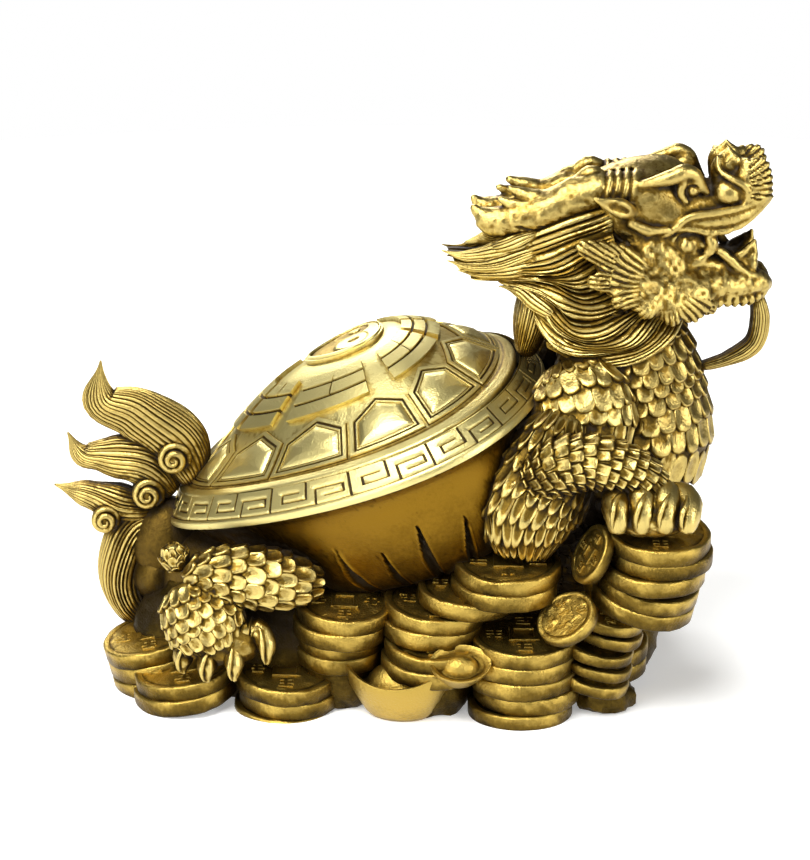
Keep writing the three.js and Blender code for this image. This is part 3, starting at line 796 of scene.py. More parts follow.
@dataclass(frozen=True)
class Brass:
    """Cast brass with patina, and painted shade from each point's openness.

    Attributes:
        name: The material's name.
        ridge: Colour of rubbed edges.
        body: Colour of the open metal.
        stain: Colour of the thin brown film.
        deep: Colour at the bottom of the ramp: dark patina in the recesses together with painted shade where
            little sky is open.
        shine: Roughness of the open metal.
        dull: Roughness of the recesses.
        bump: Height of the cast grain in mm.
        blotch: Width of the film's blotches in mm.
        speck: Width of its specks in mm.
        sand: Width of the mould's grains in mm, drawn about twice as coarse as real ones so that they show.
    """

    name: str
    ridge: str = "#CBB56C"
    body: str = "#7C6224"
    stain: str = "#4A3A18"
    deep: str = "#2A1E0A"
    shine: float = 0.34
    dull: float = 0.62
    bump: float = 0.08
    blotch: float = 9.0
    speck: float = 1.1
    sand: float = 0.55

    def make(self) -> bpy.types.Material:
        """The material, made once: patina by the stored tone, painted shade by the stored openness, blotches
        and grain by millimetres.

        Returns:
            The material of this name.
        """
        if self.name in bpy.data.materials:
            return bpy.data.materials[self.name]
        material = bpy.data.materials.new(self.name)
        material.use_nodes = True
        tree = material.node_tree
        tree.nodes.clear()
        place = add_node(tree, "ShaderNodeTexCoord").outputs["Object"]
        tone = add_node(tree, "ShaderNodeAttribute", attribute_name="tone").outputs["Fac"]
        bare = add_node(tree, "ShaderNodeAttribute", attribute_name="open").outputs["Fac"]
        blotch = add_node(tree, "ShaderNodeTexNoise",
                          {"Vector": place, "Scale": 1 / (self.blotch * UNIT), "Detail": 4.0})
        speck = add_node(tree, "ShaderNodeTexNoise",
                         {"Vector": place, "Scale": 1 / (self.speck * UNIT), "Detail": 2.0})
        # Low openness pulls the colour down the ramp to the deep colour: painted ambient shade in hollows and
        # under parts, over the patina that the tone gives.
        sky = add_node(tree, "ShaderNodeMapRange",
                       {"Value": bare, "From Min": 0.06, "From Max": 0.62}).outputs["Result"]
        cut = add_node(tree, "ShaderNodeMapRange",
                       {"Value": tone, "From Min": 0.0, "From Max": 0.9, "To Min": 0.12})
        both = add_node(tree, "ShaderNodeMath", {0: sky, 1: cut.outputs["Result"]},
                        operation="MULTIPLY").outputs[0]
        drift = add_node(tree, "ShaderNodeMath", {0: blotch.outputs["Fac"], 1: 0.34, 2: -0.17},
                         operation="MULTIPLY_ADD")
        fleck = add_node(tree, "ShaderNodeMath", {0: speck.outputs["Fac"], 1: 0.26, 2: drift.outputs[0]},
                         operation="MULTIPLY_ADD")
        worn = add_node(tree, "ShaderNodeMath", {0: both, 1: fleck.outputs[0]}, operation="ADD").outputs[0]
        ramp = add_node(tree, "ShaderNodeValToRGB", {"Fac": worn})
        stops = ramp.color_ramp.elements
        stops[0].position, stops[0].color = 0.14, colour(self.deep)
        stops[1].position, stops[1].color = 1.0, colour(self.ridge)
        for position, code in ((0.38, self.stain), (0.72, self.body)):
            stops.new(position).color = colour(code)
        rough = add_node(tree, "ShaderNodeMapRange", {
            "Value": worn, "From Min": 0.15, "From Max": 0.8, "To Min": self.dull, "To Max": self.shine})
        metal = add_node(tree, "ShaderNodeMapRange", {
            "Value": worn, "From Min": 0.08, "From Max": 0.34, "To Min": 0.35, "To Max": 1.0})
        fine = add_node(tree, "ShaderNodeTexNoise",
                        {"Vector": place, "Scale": 1 / (self.sand * UNIT), "Detail": 3.0})
        # The grain of the sand mould breaks up the highlights.
        bump = add_node(tree, "ShaderNodeBump", {
            "Height": fine.outputs["Fac"], "Strength": 0.5, "Distance": self.bump * UNIT * 4})
        shader = add_node(tree, "ShaderNodeBsdfPrincipled", {
            "Base Color": ramp.outputs["Color"], "Roughness": rough.outputs["Result"],
            "Metallic": metal.outputs["Result"], "Normal": bump.outputs["Normal"]})
        add_node(tree, "ShaderNodeOutputMaterial", {"Surface": shader.outputs["BSDF"]})
        return material


# Sand-cast brass rubbed by hands: pale gold with soft broad highlights, brown only in the cuts.
RUBBED = Brass("cast_brass_rubbed", ridge="#DACB86", body="#B0964C", stain="#5A4820", shine=0.39, bump=0.06)
# The belly in a darker, warmer copy of the brass colours: painted shade and painted warm reflection on the
# underside, with little sparkle.
SHADED_AMBER = Brass("cast_brass_amber_painted_shade", ridge="#80601A", body="#5E440C", stain="#302006", bump=0.05)
# Brass left to age: gold on the ridges only, brown between them, nearly black in the recesses, where the
# patina lies under painted shade.
AGED = Brass("cast_brass_aged", ridge="#BBA45E", body="#735A22")
# The same patina where hands reach it: brighter ridges over the same dark recesses of patina and painted
# shade.
PATINA = Brass("cast_brass_patina")
# Rough-cast coins under an olive film: dull gold with a coarse grain.
OLIVE = Brass("cast_brass_olive", ridge="#B39748", body="#6E5822", stain="#3A2E12", shine=0.37, bump=0.13)


@dataclass(frozen=True)
class Piece:
    """One shown piece.

    Attributes:
        name: The object's name.
        skin: Its surface in mm.
        finish: Its metal.
        least: The openness that no point falls below, which limits the painted shade on this piece.
    """

    name: str
    skin: Skin
    finish: Brass
    least: float = 0.0

    def show(self, bare: Array) -> bpy.types.Object:
        """The piece's object, tied to the part.

        Args:
            bare: Openness of each point, 0 to 1.

        Returns:
            The object, at the origin, unturned and unscaled.
        """
        skin = self.skin
        mesh = bpy.data.meshes.new(self.name)
        loops = np.concatenate([skin.quads.ravel(), skin.fans.ravel()]).astype(np.int32)
        sizes = np.concatenate([np.full(len(skin.quads), 4), np.full(len(skin.fans), 3)])
        starts = np.concatenate([[0], np.cumsum(sizes)[:-1]]).astype(np.int32)
        mesh.vertices.add(len(skin.points))
        mesh.vertices.foreach_set("co", (skin.points * UNIT).astype(np.float32).ravel())
        mesh.loops.add(len(loops))
        mesh.loops.foreach_set("vertex_index", loops)
        mesh.polygons.add(len(sizes))
        mesh.polygons.foreach_set("loop_start", starts)
        mesh.update(calc_edges=True)
        mesh.validate()
        mesh.polygons.foreach_set("use_smooth", np.ones(len(mesh.polygons), dtype=bool))
        mesh.set_sharp_from_angle(angle=np.radians(CREASE))
        # The openness is stored for the finish, which turns it into painted shade in hollows and under parts.
        for label, values in (("tone", skin.tone), ("open", np.maximum(bare, self.least))):
            layer = mesh.attributes.new(label, "FLOAT", "POINT")
            layer.data.foreach_set("value", np.asarray(values, dtype=np.float32))
        mesh.materials.append(self.finish.make())
        piece = bpy.data.objects.new(self.name, mesh)
        bpy.context.scene.collection.objects.link(piece)
        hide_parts(NODE)
        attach(piece, "root")
        log.info("%s: %d triangles", self.name, skin.triangles())
        return piece


# The shell

@dataclass(frozen=True)
class Shell:
    """The tilted egg-shaped shell with its border, plates, trigrams, disc and belly.

    Attributes:
        length: Rim, tail end to neck end, in mm.
        width: Rim, side to side.
        dome: Height of the top over the rim's plane.
        pitch: Tilt in degrees, neck end up.
        middle: Middle of the rim.
        hull: Depth of the belly below the rim.
        band: Plan width of the patterned border.
        band_rise: Height of the border's inner edge.
        egg: How much wider the neck half is.
        forward: How far the top stands ahead of the rim's middle.
        back: How far the carving's middle stands behind the top.
    """

    length: float = 113.0
    width: float = 93.0
    dome: float = 28.0
    pitch: float = 22.3
    middle: Point = (-14.0, 0.0, 66.5)
    hull: float = 40.0
    band: float = 4.4
    band_rise: float = 6.5
    egg: float = 0.35
    forward: float = 13.0
    back: float = 0.24

    def band_share(self) -> float:
        """Share of the way out at which the border begins."""
        return 1 - 2 * self.band / self.width

    def over(self, bearing: Array, share: Array, height: Array) -> Array:
        """Points over the rim's plane: bearing in radians from the neck, share 0 at the top and 1 at the rim.

        Args:
            bearing: Bearings in radians.
            share: Shares of the way out.
            height: Heights over the plane in mm.

        Returns:
            The points, on ellipses that are wider at the neck and whose middle moves ahead towards the top.
        """
        p = np.radians(self.pitch)
        along, above = np.array([np.cos(p), 0, np.sin(p)]), np.array([-np.sin(p), 0, np.cos(p)])
        long = self.length / 2 * share * np.cos(bearing) + self.forward * (1 - share)
        wide = self.width / 2 * share * np.sin(bearing) * (1 + self.egg * np.cos(bearing))
        across = np.array([0.0, 1.0, 0.0])
        return (np.array(self.middle) + long[..., None] * along + wide[..., None] * across
                + height[..., None] * above)

    def dome_at(self, share: Array) -> Array:
        """Height of the dome at a share of the way out: a flat border slope, and a rounded crown inside it.

        Args:
            share: Shares of the way out.

        Returns:
            Heights in mm; the crown's is one less the share's power 2.4, to the power 1.6.
        """
        edge = self.band_share()
        crown = self.band_rise + (self.dome - self.band_rise) * (
            1 - np.clip(share / edge, 0, 1) ** 2.4
        ) ** 1.6
        return np.where(share >= edge, self.band_rise * (1 - share) / (1 - edge), crown)

    def carved(self, bearing: Array, ring: Array) -> Array:
        """The share at which a ring of the carving lies, since its middle stands behind the dome's top."""
        return ring * (1 - self.back * (1 - ring) * np.cos(bearing))

    def on_dome(self, bearing: Array, ring: Array, rise: Array) -> Array:
        """Points of the carving, `rise` mm off the dome along its own slope.

        Args:
            bearing: Bearings in radians.
            ring: Rings of the carving, 0 in its middle and 1 at the rim.
            rise: Distances off the dome in mm.

        Returns:
            The points.
        """
        step = 1e-3

        def bare(b: Array, r: Array) -> Array:
            """The dome's own points."""
            share = self.carved(b, r)
            return self.over(b, share, self.dome_at(share))

        here = bare(bearing, ring)
        out = np.cross(bare(bearing + step, ring) - here, bare(bearing, ring + step) - here)
        out = unit(out)
        up = np.sign(out[..., 2:3] + 1e-12)
        return here + out * up * rise[..., None]

    def crown(self) -> Skin:
        """The dome inside the border: rings of the carving from the top out, with a groove at the foot.

        Returns:
            The closed surface.
        """
        ring = np.concatenate([np.linspace(0.02, 0.838, 46), [0.848, 0.858, 0.87, 0.882, 0.89, 0.895, 0.9]])
        rise = np.interp(ring, [0, 0.828, 0.842, 0.888, 0.894, 0.9], [-0.3, -0.3, 0.15, 0.2, -0.3, -1.2])
        bearing = bearings(288)
        r, b = np.meshgrid(ring, bearing, indexing="ij")
        h = np.repeat(rise[:, None], len(bearing), axis=1)
        grid = self.on_dome(b, r, h)
        pit = (r > 0.53) & (r < 0.66)
        noise = grain(grid, 0.9, 3)
        grid = self.on_dome(b, r, h + 0.02 * grain(grid, 5.0, 2) + 0.10 * noise * pit)
        tone = np.interp(r, [0.0, 0.82, 0.836, 0.85, 0.888, 0.9], [1, 1, 0.1, 1, 0.95, 0.0])
        tone = tone * np.where(pit, 0.86 + 0.12 * noise, 1.0)
        top = self.on_dome(np.zeros(1), np.zeros(1) + 1e-4, np.zeros(1))[0]
        foot = self.over(np.zeros(1), np.zeros(1), np.zeros(1))[0]
        return Skin.tube(grid, np.clip(tone, 0, 1), top, foot)

    def meander(self) -> Skin:
        """The border: a flat band with a square meander cut into it, and the rounded lip outside it.

        The grid's lines follow both edges of every groove, so that a point is on the floor or on the top.

        Returns:
            The closed band.
        """
        wide, floor = 0.42, 0.27
        periods, mean_radius = 14, 50.0
        step = 360.0 / periods
        cuts = np.array([0.0, 0.155, 0.36, 0.46, 0.58, 0.70, 0.92])
        per_mm = np.degrees(1.0 / mean_radius) / step
        lines = np.concatenate([(c + np.array([-wide, -floor, floor, wide]) * per_mm) for c in cuts])
        gaps = (cuts + np.roll(cuts, -1) + (np.arange(7) == 6)) / 2
        f = np.sort(np.concatenate([lines, gaps]))
        bearing = ((np.arange(periods)[:, None] + 0.5 + f[None, :]) * step).ravel()
        inner, outer, tall = 0.903, 0.986, 6.8
        rows = np.array([0.0, 0.38, 0.695, 1.0])
        v = np.concatenate([(c + np.array([-wide, -floor, floor, wide]) / tall) for c in rows])
        v = np.sort(np.concatenate([v, (rows[:-1] + rows[1:]) / 2]))
        down = np.zeros((len(v), len(f)), dtype=bool)
        half_f, half_v = (floor + 0.01) * per_mm, (floor + 0.01) / tall
        strokes = [
            (0.0, 0.0, 0.0, 1.0), (0.46, 0.46, 0.0, 0.695), (0.155, 0.46, 0.695, 0.695),
            (0.155, 0.155, 0.38, 0.695), (0.155, 0.36, 0.38, 0.38), (0.58, 0.58, 0.38, 1.0),
            (0.58, 0.92, 0.38, 0.38), (0.92, 0.92, 0.38, 0.695),
            (0.70, 0.92, 0.695, 0.695), (-1.0, 2.0, 0.0, 0.0), (-1.0, 2.0, 1.0, 1.0),
        ]
        for f0, f1, v0, v1 in strokes:
            beside = (f >= f0 - half_f) & (f <= f1 + half_f)
            if f0 == f1 == 0.0:
                beside |= f >= 1 - half_f
            down |= ((v >= v0 - half_v) & (v <= v1 + half_v))[:, None] & beside[None, :]
        down = np.tile(down, (1, periods))
        share = inner + v * (outer - inner)
        before = np.array([0.86, 0.887, 0.8955])
        before_h = np.array([-6.0, -4.0, -0.8])
        after = np.array([0.991, 0.996, 1.001, 1.005, 1.002, 0.99, 0.95])
        after_rise = np.array([0.25, 0.45, 0.35, -0.3, -1.4, -2.4, -3.0])
        share = np.concatenate([before, share, after])
        rise = np.concatenate([before_h, np.zeros(len(v)), after_rise])
        s, b = np.meshgrid(share, np.radians(bearing), indexing="ij")
        height = np.where(s > 1, 0.0, self.dome_at(s)) + rise[:, None]
        block = slice(len(before), len(before) + len(v))
        tone = np.ones_like(s)
        tone[: len(before)] = 0.0
        tone[block] = np.where(down, 0.0, 1.0)
        height[block] -= np.where(down, 0.75, 0.0)
        grid = self.over(b, s, height)
        grid += 0.03 * grain(grid, 3.0, 5)[..., None] * np.array([0.0, 0.0, 1.0])
        return Skin.tube(grid, tone)

    def belly(self) -> Skin:
        """The smooth belly under the rim, with pointed folds that open downwards.

        Returns:
            The closed surface.
        """
        profile = np.array([
            (0.97, -1.6), (0.955, -2.6), (0.925, -4.2), (0.905, -7), (0.89, -10.5), (0.87, -14), (0.84, -19),
            (0.80, -24), (0.74, -29.5), (0.66, -34), (0.5, -38.2), (0.25, -39.8),
        ])
        run = np.concatenate([[0], np.cumsum(np.hypot(*(np.diff(profile, axis=0) * [46, 1]).T))])
        place = np.linspace(0, run[-1], 44)
        share, drop = np.interp(place, run, profile[:, 0]), np.interp(place, run, profile[:, 1])
        bearing = bearings(600)
        s, b = np.meshgrid(share, bearing, indexing="ij")
        h = np.repeat(drop[:, None], len(bearing), axis=1)
        wedge, lips = np.zeros_like(s), np.zeros_like(s)
        folds = [(207, 0.8, 15), (222, 0.9, 17), (238, 0.9, 12), (254, 1.1, 15), (268, 0.8, 19),
                 (283, 0.9, 14), (299, 0.8, 17), (315, 0.9, 15)]
        for middle, size, top in folds + [(360 - m, w, t) for m, w, t in folds]:
            depth = np.clip((-h - top) / 12.0, 0, 1)
            off = (np.degrees(b) - middle) * 0.8 + 1.6 * depth * np.sign(middle - 180)
            half = 0.1 + 1.7 * size * depth**1.4
            wedge += np.clip(1 - np.abs(off) / half, 0, 1) ** 0.7 * smoothstep(depth, 0.0, 0.3)
            lips += np.exp(-((np.abs(off) - half - 0.3) / 0.3) ** 2) * smoothstep(depth, 0.0, 0.3)
        soft = 0.35 * np.sin(b * 23) * smoothstep(-h, 8, 24)
        grid = self.over(b, s + 0.006 * soft - 0.05 * np.clip(wedge, 0, 1) + 0.009 * np.clip(lips, 0, 1), h)
        # Tone darker towards the bottom of the belly, dark in the fold wedges and bright on their lips:
        # painted shade and painted highlight.
        low = smoothstep(-h, 9.0, 30.0)
        tone = np.clip(0.8 - 0.42 * low + 0.55 * lips - 0.95 * wedge, 0, 1)
        top, foot = (self.over(np.zeros(1), np.zeros(1), np.full(1, z))[0] for z in (0.0, -self.hull))
        return Skin.tube(grid, tone, top, foot)

    def tile(self, outline: Sequence[tuple[float, float]],
             steps: Sequence[tuple[float, float, float]]) -> Skin:
        """A raised tile on the dome: rings of its outline, each set in from the last by a distance in mm.

        Args:
            outline: Corners as (bearing in degrees, ring).
            steps: Each ring's inset in mm, rise in mm and tone; the last one is drawn to the middle.

        Returns:
            The closed tile.
        """
        corners = np.array(outline, float)
        b0, r0 = corners.mean(axis=0)
        hub = self.on_dome(np.radians([b0, b0 + 1, b0]), np.array([r0, r0, r0 + 0.01]), np.zeros(3))
        per_degree = np.linalg.norm(hub[1] - hub[0]) / r0
        per_ring = np.linalg.norm(hub[2] - hub[0]) / 0.01
        flat = np.stack([(corners[:, 0] - b0) * per_degree * corners[:, 1], (corners[:, 1] - r0) * per_ring],
                        -1)
        before, after = unit(flat - np.roll(flat, 1, axis=0)), unit(np.roll(flat, -1, axis=0) - flat)
        turn = np.sign(np.sum(flat[:, 0] * np.roll(flat[:, 1], -1) - np.roll(flat[:, 0], -1) * flat[:, 1]))
        square = unit(np.stack([-(before + after)[:, 1], (before + after)[:, 0]], -1) * turn)
        straight = np.stack([-after[:, 1], after[:, 0]], -1) * turn
        mitre = square / np.clip(np.sum(square * straight, axis=1), 0.45, 1)[:, None]
        pieces = np.maximum(1, np.round(np.linalg.norm(np.roll(flat, -1, axis=0) - flat,
                                                       axis=1) / 1.6)).astype(int)
        edge = np.repeat(np.arange(len(flat)), pieces)
        share = np.concatenate([np.arange(n) / n for n in pieces])[:, None]
        rings, tones, rises = [], [], []
        for inset, rise, tone in steps:
            inner = flat + mitre * inset
            rings.append(inner[edge] * (1 - share) + np.roll(inner, -1, axis=0)[edge] * share)
            rises.append(rise)
            tones.append(tone)
        middle = rings[-1].mean(axis=0)
        for pull in (0.66, 0.33):
            rings.append(middle + (rings[len(steps) - 1] - middle) * pull)
            rises.append(rises[len(steps) - 1] + 0.5 * (1 - pull**2))
            tones.append(tones[len(steps) - 1])
        plan = np.array(rings)
        ring = r0 + plan[..., 1] / per_ring
        bearing = np.radians(b0 + plan[..., 0] / per_degree / np.maximum(ring, 0.05))
        rise = np.repeat(np.array(rises)[:, None], plan.shape[1], axis=1)
        grid = self.on_dome(bearing, ring, rise)
        mid_ring = r0 + middle[1] / per_ring
        mid = self.on_dome(
            np.radians(np.full(2, b0 + middle[0] / per_degree / mid_ring)), np.full(2, mid_ring),
            np.array([rises[-1], steps[0][1]]),
        )
        tone = np.repeat(np.array(tones)[:, None], plan.shape[1], axis=1)
        return Skin.tube(grid, tone, mid[1], mid[0])

    def plates(self) -> list[Skin]:
        """Twelve border plates with a point to the top, each in its own raised frame.

        Returns:
            One tile a plate.
        """
        steps = [
            (0.2, -1.4, 0.0), (0.3, -0.2, 0.1), (0.55, 0.5, 1.0), (1.5, 0.55, 1.0), (1.7, -0.1, 0.0),
            (2.05, -0.1, 0.0), (2.25, 0.4, 1.0), (2.6, 0.42, 1.0), (2.72, 0.2, 0.35), (2.9, 0.2, 0.35),
            (3.05, 0.45, 1.0), (4.6, 0.75, 1.0),
        ]
        tiles = []
        for i in range(12):
            b = (i + 0.5) * 30.0
            outline = [(b - 14.9, 0.825), (b + 14.9, 0.825), (b + 14.9, 0.636), (b, 0.552), (b - 14.9, 0.636)]
            tiles.append(self.tile(outline, steps))
        return tiles

    def panel(self, middle: float, half: float, broken: int) -> Skin:
        """One trigram: a slab with three flush bars parted by engraved lines, the broken ones cut once.

        Args:
            middle: Bearing of its middle in degrees.
            half: Half its width in degrees.
            broken: A bit for each bar, set where it is broken.

        Returns:
            The closed slab.
        """
        low, high, gap = 0.325, 0.54, 0.018
        bar = (high - low - 2 * gap) / 3
        lines = [low, low + 0.005]
        for k in (1, 2):
            y = low + k * bar + (k - 1) * gap
            lines += [y, y + 0.3 * gap, y + 0.7 * gap, y + gap]
        lines += [high - 0.005, high]
        ring = np.sort(np.unique(np.concatenate([lines, low + bar * np.array([0.5]),
                                                 low + gap + bar * np.array([1.5]),
                                                 low + 2 * gap + bar * np.array([2.5])])))
        split = np.array([-1.1, -0.5, 0.5, 1.1]) * 0.5 * 22.0 / max(half, 14)
        side = np.concatenate([np.linspace(-half, split[0], 12), split[1:3], np.linspace(split[3], half, 12)])
        r, b = np.meshgrid(ring, side, indexing="ij")
        rise = np.full_like(r, 1.0)
        for k in (1, 2):
            y = low + k * bar + (k - 1) * gap
            rise[(r > y + 0.2 * gap) & (r < y + 0.8 * gap)] = 0.2
        for row in range(3):
            if broken >> row & 1:
                y0 = low + row * (bar + gap)
                in_bar = (r > y0 - gap) & (r < y0 + bar + gap)
                rise[in_bar & (b > split[1] - 0.01) & (b < split[2] + 0.01)] = 0.2
        tone = np.where(rise < 0.9, 0.0, 1.0)
        bearing = np.radians(middle + b)
        front = self.on_dome(bearing, r, rise)
        back = self.on_dome(bearing, r, np.full_like(r, -1.5))
        return Skin.sheet(front, back, tone)

    def trigrams(self) -> list[Skin]:
        """The eight trigrams round the disc: middle bearing, half width and the bars that are broken."""
        return [self.panel(*row) for row in (
            (0, 11, 0b000), (39, 22, 0b110), (100, 23, 0b101), (147, 14, 0b100),
            (180, 14, 0b111), (213, 14, 0b001), (260, 23, 0b010), (321, 22, 0b011),
        )]

    def disc(self) -> Skin:
        """The round boss with two interlocking drops, told apart by the signed distance to their border.

        Returns:
            The closed surface.
        """
        ring = np.concatenate([np.linspace(0.008, 0.168, 40),
                               [0.172, 0.176, 0.184, 0.188, 0.198, 0.205, 0.207]])
        bearing = bearings(160)
        r, b = np.meshgrid(ring, bearing, indexing="ij")
        x, y = r / 0.168 * np.cos(b), r / 0.168 * np.sin(b)
        upper, lower = np.hypot(x, y - 0.5), np.hypot(x, y + 0.5)
        side = np.where(upper < 0.5, -1.0, np.where(lower < 0.5, 1.0, np.sign(x)))
        drop = side * np.minimum(np.abs(upper - 0.5), np.abs(lower - 0.5))
        drop = np.where(upper < 0.16, 1.0, np.where(lower < 0.16, -1.0, drop))
        raised = smoothstep(drop, -0.04, 0.06)
        frame_rise = np.interp(r, [0.168, 0.172, 0.176, 0.184, 0.188], [0, -0.1, 0.75, 0.75, 0.2])
        rise = 0.55 + 0.45 * raised * (r <= 0.169) + np.where(r > 0.169, frame_rise, 0)
        rise = np.where(r >= 0.205, -1.0, rise)
        tone = np.where(r <= 0.169, 0.35 + 0.65 * raised, np.interp(r, [0.169, 0.172, 0.176, 0.2, 0.206],
                                                                 [0.3, 0.1, 1, 0.9, 0]))
        top = self.on_dome(np.zeros(1), np.full(1, 1e-4), np.full(1, 0.6))[0]
        foot = self.on_dome(np.zeros(1), np.full(1, 1e-4), np.full(1, -1.0))[0]
        return Skin.tube(self.on_dome(b, r, rise), tone, top, foot)

    def skin(self) -> Skin:
        """The whole shell without its belly."""
        return Skin.join([self.crown(), self.meander(), *self.plates(), *self.trigrams(), self.disc()])

    def pieces(self) -> list[Piece]:
        """The shell and the belly, dressed."""
        return [Piece("shell", self.skin(), RUBBED, 0.45), Piece("belly", self.belly(), SHADED_AMBER)]


# Body and legs

@dataclass(frozen=True)
class Body:
    """Neck, chest, rump and four legs, with their scales and toes."""

    neck: Limb = Limb(
        [(18, 0, 60), (44, 0, 60), (62, 0, 69), (61, 0, 90), (58, 0, 108), (64, 0, 126)],
        [22, 24, 22.5, 20, 17, 13], [26, 27, 22, 18, 17, 12],
    )
    chest: Limb = Limb([(30, 0, 46), (51, 0, 41), (66, 0, 51)], [18, 18, 11.5], [27, 25, 17], relief=STIPPLE)
    rump: Limb = Limb([(-36, 0, 34), (-56, 0, 32), (-70, 0, 22)], [15, 11, 7], [25, 17, 9], relief=STIPPLE)
    shoulder: Limb = Limb([(43, 13, 94), (46, 18, 87), (47, 20.5, 79), (45, 23, 70)], [10, 14.5, 15.5, 13],
                          [6, 8.5, 9.5, 9])
    upper: Limb = Limb([(45, 20, 82), (40, 28, 71), (33.5, 31.5, 59), (31.7, 32, 46)], [12, 13.5, 14.3, 12.5],
                       [11, 11.5, 11, 9])
    fore: Limb = Limb([(31, 35, 66), (43.5, 38.5, 73.5), (52, 39.5, 74.5), (62, 39.5, 71), (68.5, 39, 65)],
                      [8, 7.8, 6.8, 6.5, 6.5], [7.5, 7.5, 7, 6.5, 7])
    shank: Limb = Limb([(-24, 28, 36), (-33, 31, 37.5), (-48, 32, 39), (-60, 31, 37)], [7, 8, 7.8, 7.4],
                       [8, 8, 7.8, 7])
    foot: Limb = Limb([(-60, 31, 37), (-57.5, 33.5, 31.5), (-54, 35.5, 26), (-50, 37, 19.5)],
                      [8, 10, 11, 8.5],
                      [7.5, 8, 7.5, 6])

    def toe(self, path: Sequence[Point], side: float, seed: int, size: float, tip: float) -> Skin:
        """A plump toe with a nail fold, and a thin claw ridge that curves over its front.

        Args:
            path: Points of its middle line on the far side.
            side: NEAR or FAR.
            seed: Chooses the grain.
            size: Its half width in mm.
            tip: Width of its tip, to the rest.

        Returns:
            The toe and its claw.
        """
        toe = Limb(path, [size, 1.08 * size, size, tip * size], [size, size, 0.9 * size, 0.9 * tip * size],
                   face=(1.0, 0.0, 0.0), blunt=0.4, relief=STIPPLE).side(side)
        line = smooth_line(np.array(toe.path), np.array([0.3, 0.45, 0.6, 0.76, 0.9, 1.0]))
        bow = 0.27 * size * np.array([1.4, 0.4, -0.7, -1.5, -1.4, -0.6])[:, None] * np.array([1.0, 0.0, 0.0])
        out = np.array([0.0, side * 0.85, 0.5])
        lift = size * np.array([0.85, 1.06, 1.12, 1.06, 0.9, 0.6])[:, None]
        claw = Limb([tuple(p) for p in line + out * lift + bow], [0.3, 0.6, 0.75, 0.75, 0.6, 0.3],
                    [0.4, 0.9, 1.1, 1.1, 0.8, 0.3], face=(0.0, side, 0.4))
        return Skin.join([toe.skin(20, 22, seed), claw.skin(20, 10, seed)])

    def front(self, side: float) -> list[Skin]:
        """One front leg, whose toes grip the edge of a coin stack.

        Args:
            side: NEAR or FAR.

        Returns:
            Its surfaces.
        """
        seed = int(20 + side)
        shoulder, upper, fore = (limb.side(side) for limb in (self.shoulder, self.upper, self.fore))
        parts = [limb.skin(30, 40, seed) for limb in (shoulder, upper, fore)]
        parts.append(lump((65.6, 39.5 * side, 61.3), (13, 10, 7.6), 30, 48, 0.25, seed))
        parts.append(Scales(ScaleCut.SHIELD, 3.6, 4.0, (0.06, 0.9), 1.0, 0.6, 0.5).over(shoulder, seed + 2))
        parts.append(Scales(ScaleCut.FEATHER, 5.2, 3.1, (0.12, 0.97), 1.0, 0.7, 0.7, 0.4).over(upper, seed))
        parts.append(Scales(ScaleCut.BAND, 3.0, 3.2, (0.05, 0.93), 1.0, 0.6, 0.7).over(fore, seed + 1))
        for i, x in enumerate((56.8, 63.2, 69.4, 75.2)):
            lift = (0, 1, 0.6, -1)[i]
            path = [(64 + i, 36, 63.5), (x, 41.5, 65 + lift), (x, 46.4, 62 + lift), (x - 0.5, 46.8, 57)]
            parts.append(self.toe(path, side, seed + i, 4.3, 0.85))
        return parts

    def hind(self, side: float) -> list[Skin]:
        """One hind leg, folded, with its heel knob, its toes spread over the low coins.

        Args:
            side: NEAR or FAR.

        Returns:
            Its surfaces.
        """
        seed = int(40 + side)
        shank, foot = self.shank.side(side), self.foot.side(side)
        heel = Limb([(-59.5, 30, 41), (-62.5, 30.5, 44), (-64, 31, 47.5)], [3, 3.8, 2.6],
                    [2.6, 3.2, 2.2]).side(side)
        parts = [shank.skin(30, 40, seed), foot.skin(20, 30, seed), heel.skin(12, 14, seed)]
        parts.append(Scales(ScaleCut.SHIELD, 3.8, 4.3, (0.02, 0.98), -1.0, 0.75, 0.65).over(shank, seed))
        parts.append(Scales(ScaleCut.SHIELD, 3.0, 3.4, (0.1, 0.93), 1.0, 0.7, 0.6).over(foot, seed + 1))
        parts.append(Scales(ScaleCut.SHIELD, 2.2, 2.2, (0.15, 0.9), 1.0, 0.4, 0.4).over(heel, seed + 2))
        for i, (x, y, z) in enumerate(((-60.5, 38, 12.5), (-54, 40.5, 11), (-46.5, 41, 11.5),
                                       (-37.5, 39, 15.5))):
            root = -53 + (x + 49) * 0.4
            path = [(root, 35.5, 24), (root + 0.75 * (x - root), y - 4, z + 9), (x, y - 1, z + 4.5),
                    (x, y, z)]
            parts.append(self.toe(path, side, seed + i, 3.2, 0.3))
        paw = lump((-49.5, 35.5 * side, 20.5), (10.5, 5.5, 6.0), 24, 36, 0.5, seed)
        paw.tone *= 0.6
        parts.append(paw)
        return parts

    def torso(self) -> Skin:
        """Neck, chest and rump.

        Returns:
            Their surfaces with their scales.
        """
        parts = [self.neck.skin(60, 90, 1), self.chest.skin(30, 50, 2), self.rump.skin(30, 50, 3)]
        parts.append(lump((-67, 0, 37.5), (10.5, 9, 13), 20, 30, 0.3, 4))
        parts.append(lump((-70, 0, 28), (7, 9, 8), 16, 24, 0.3, 5))
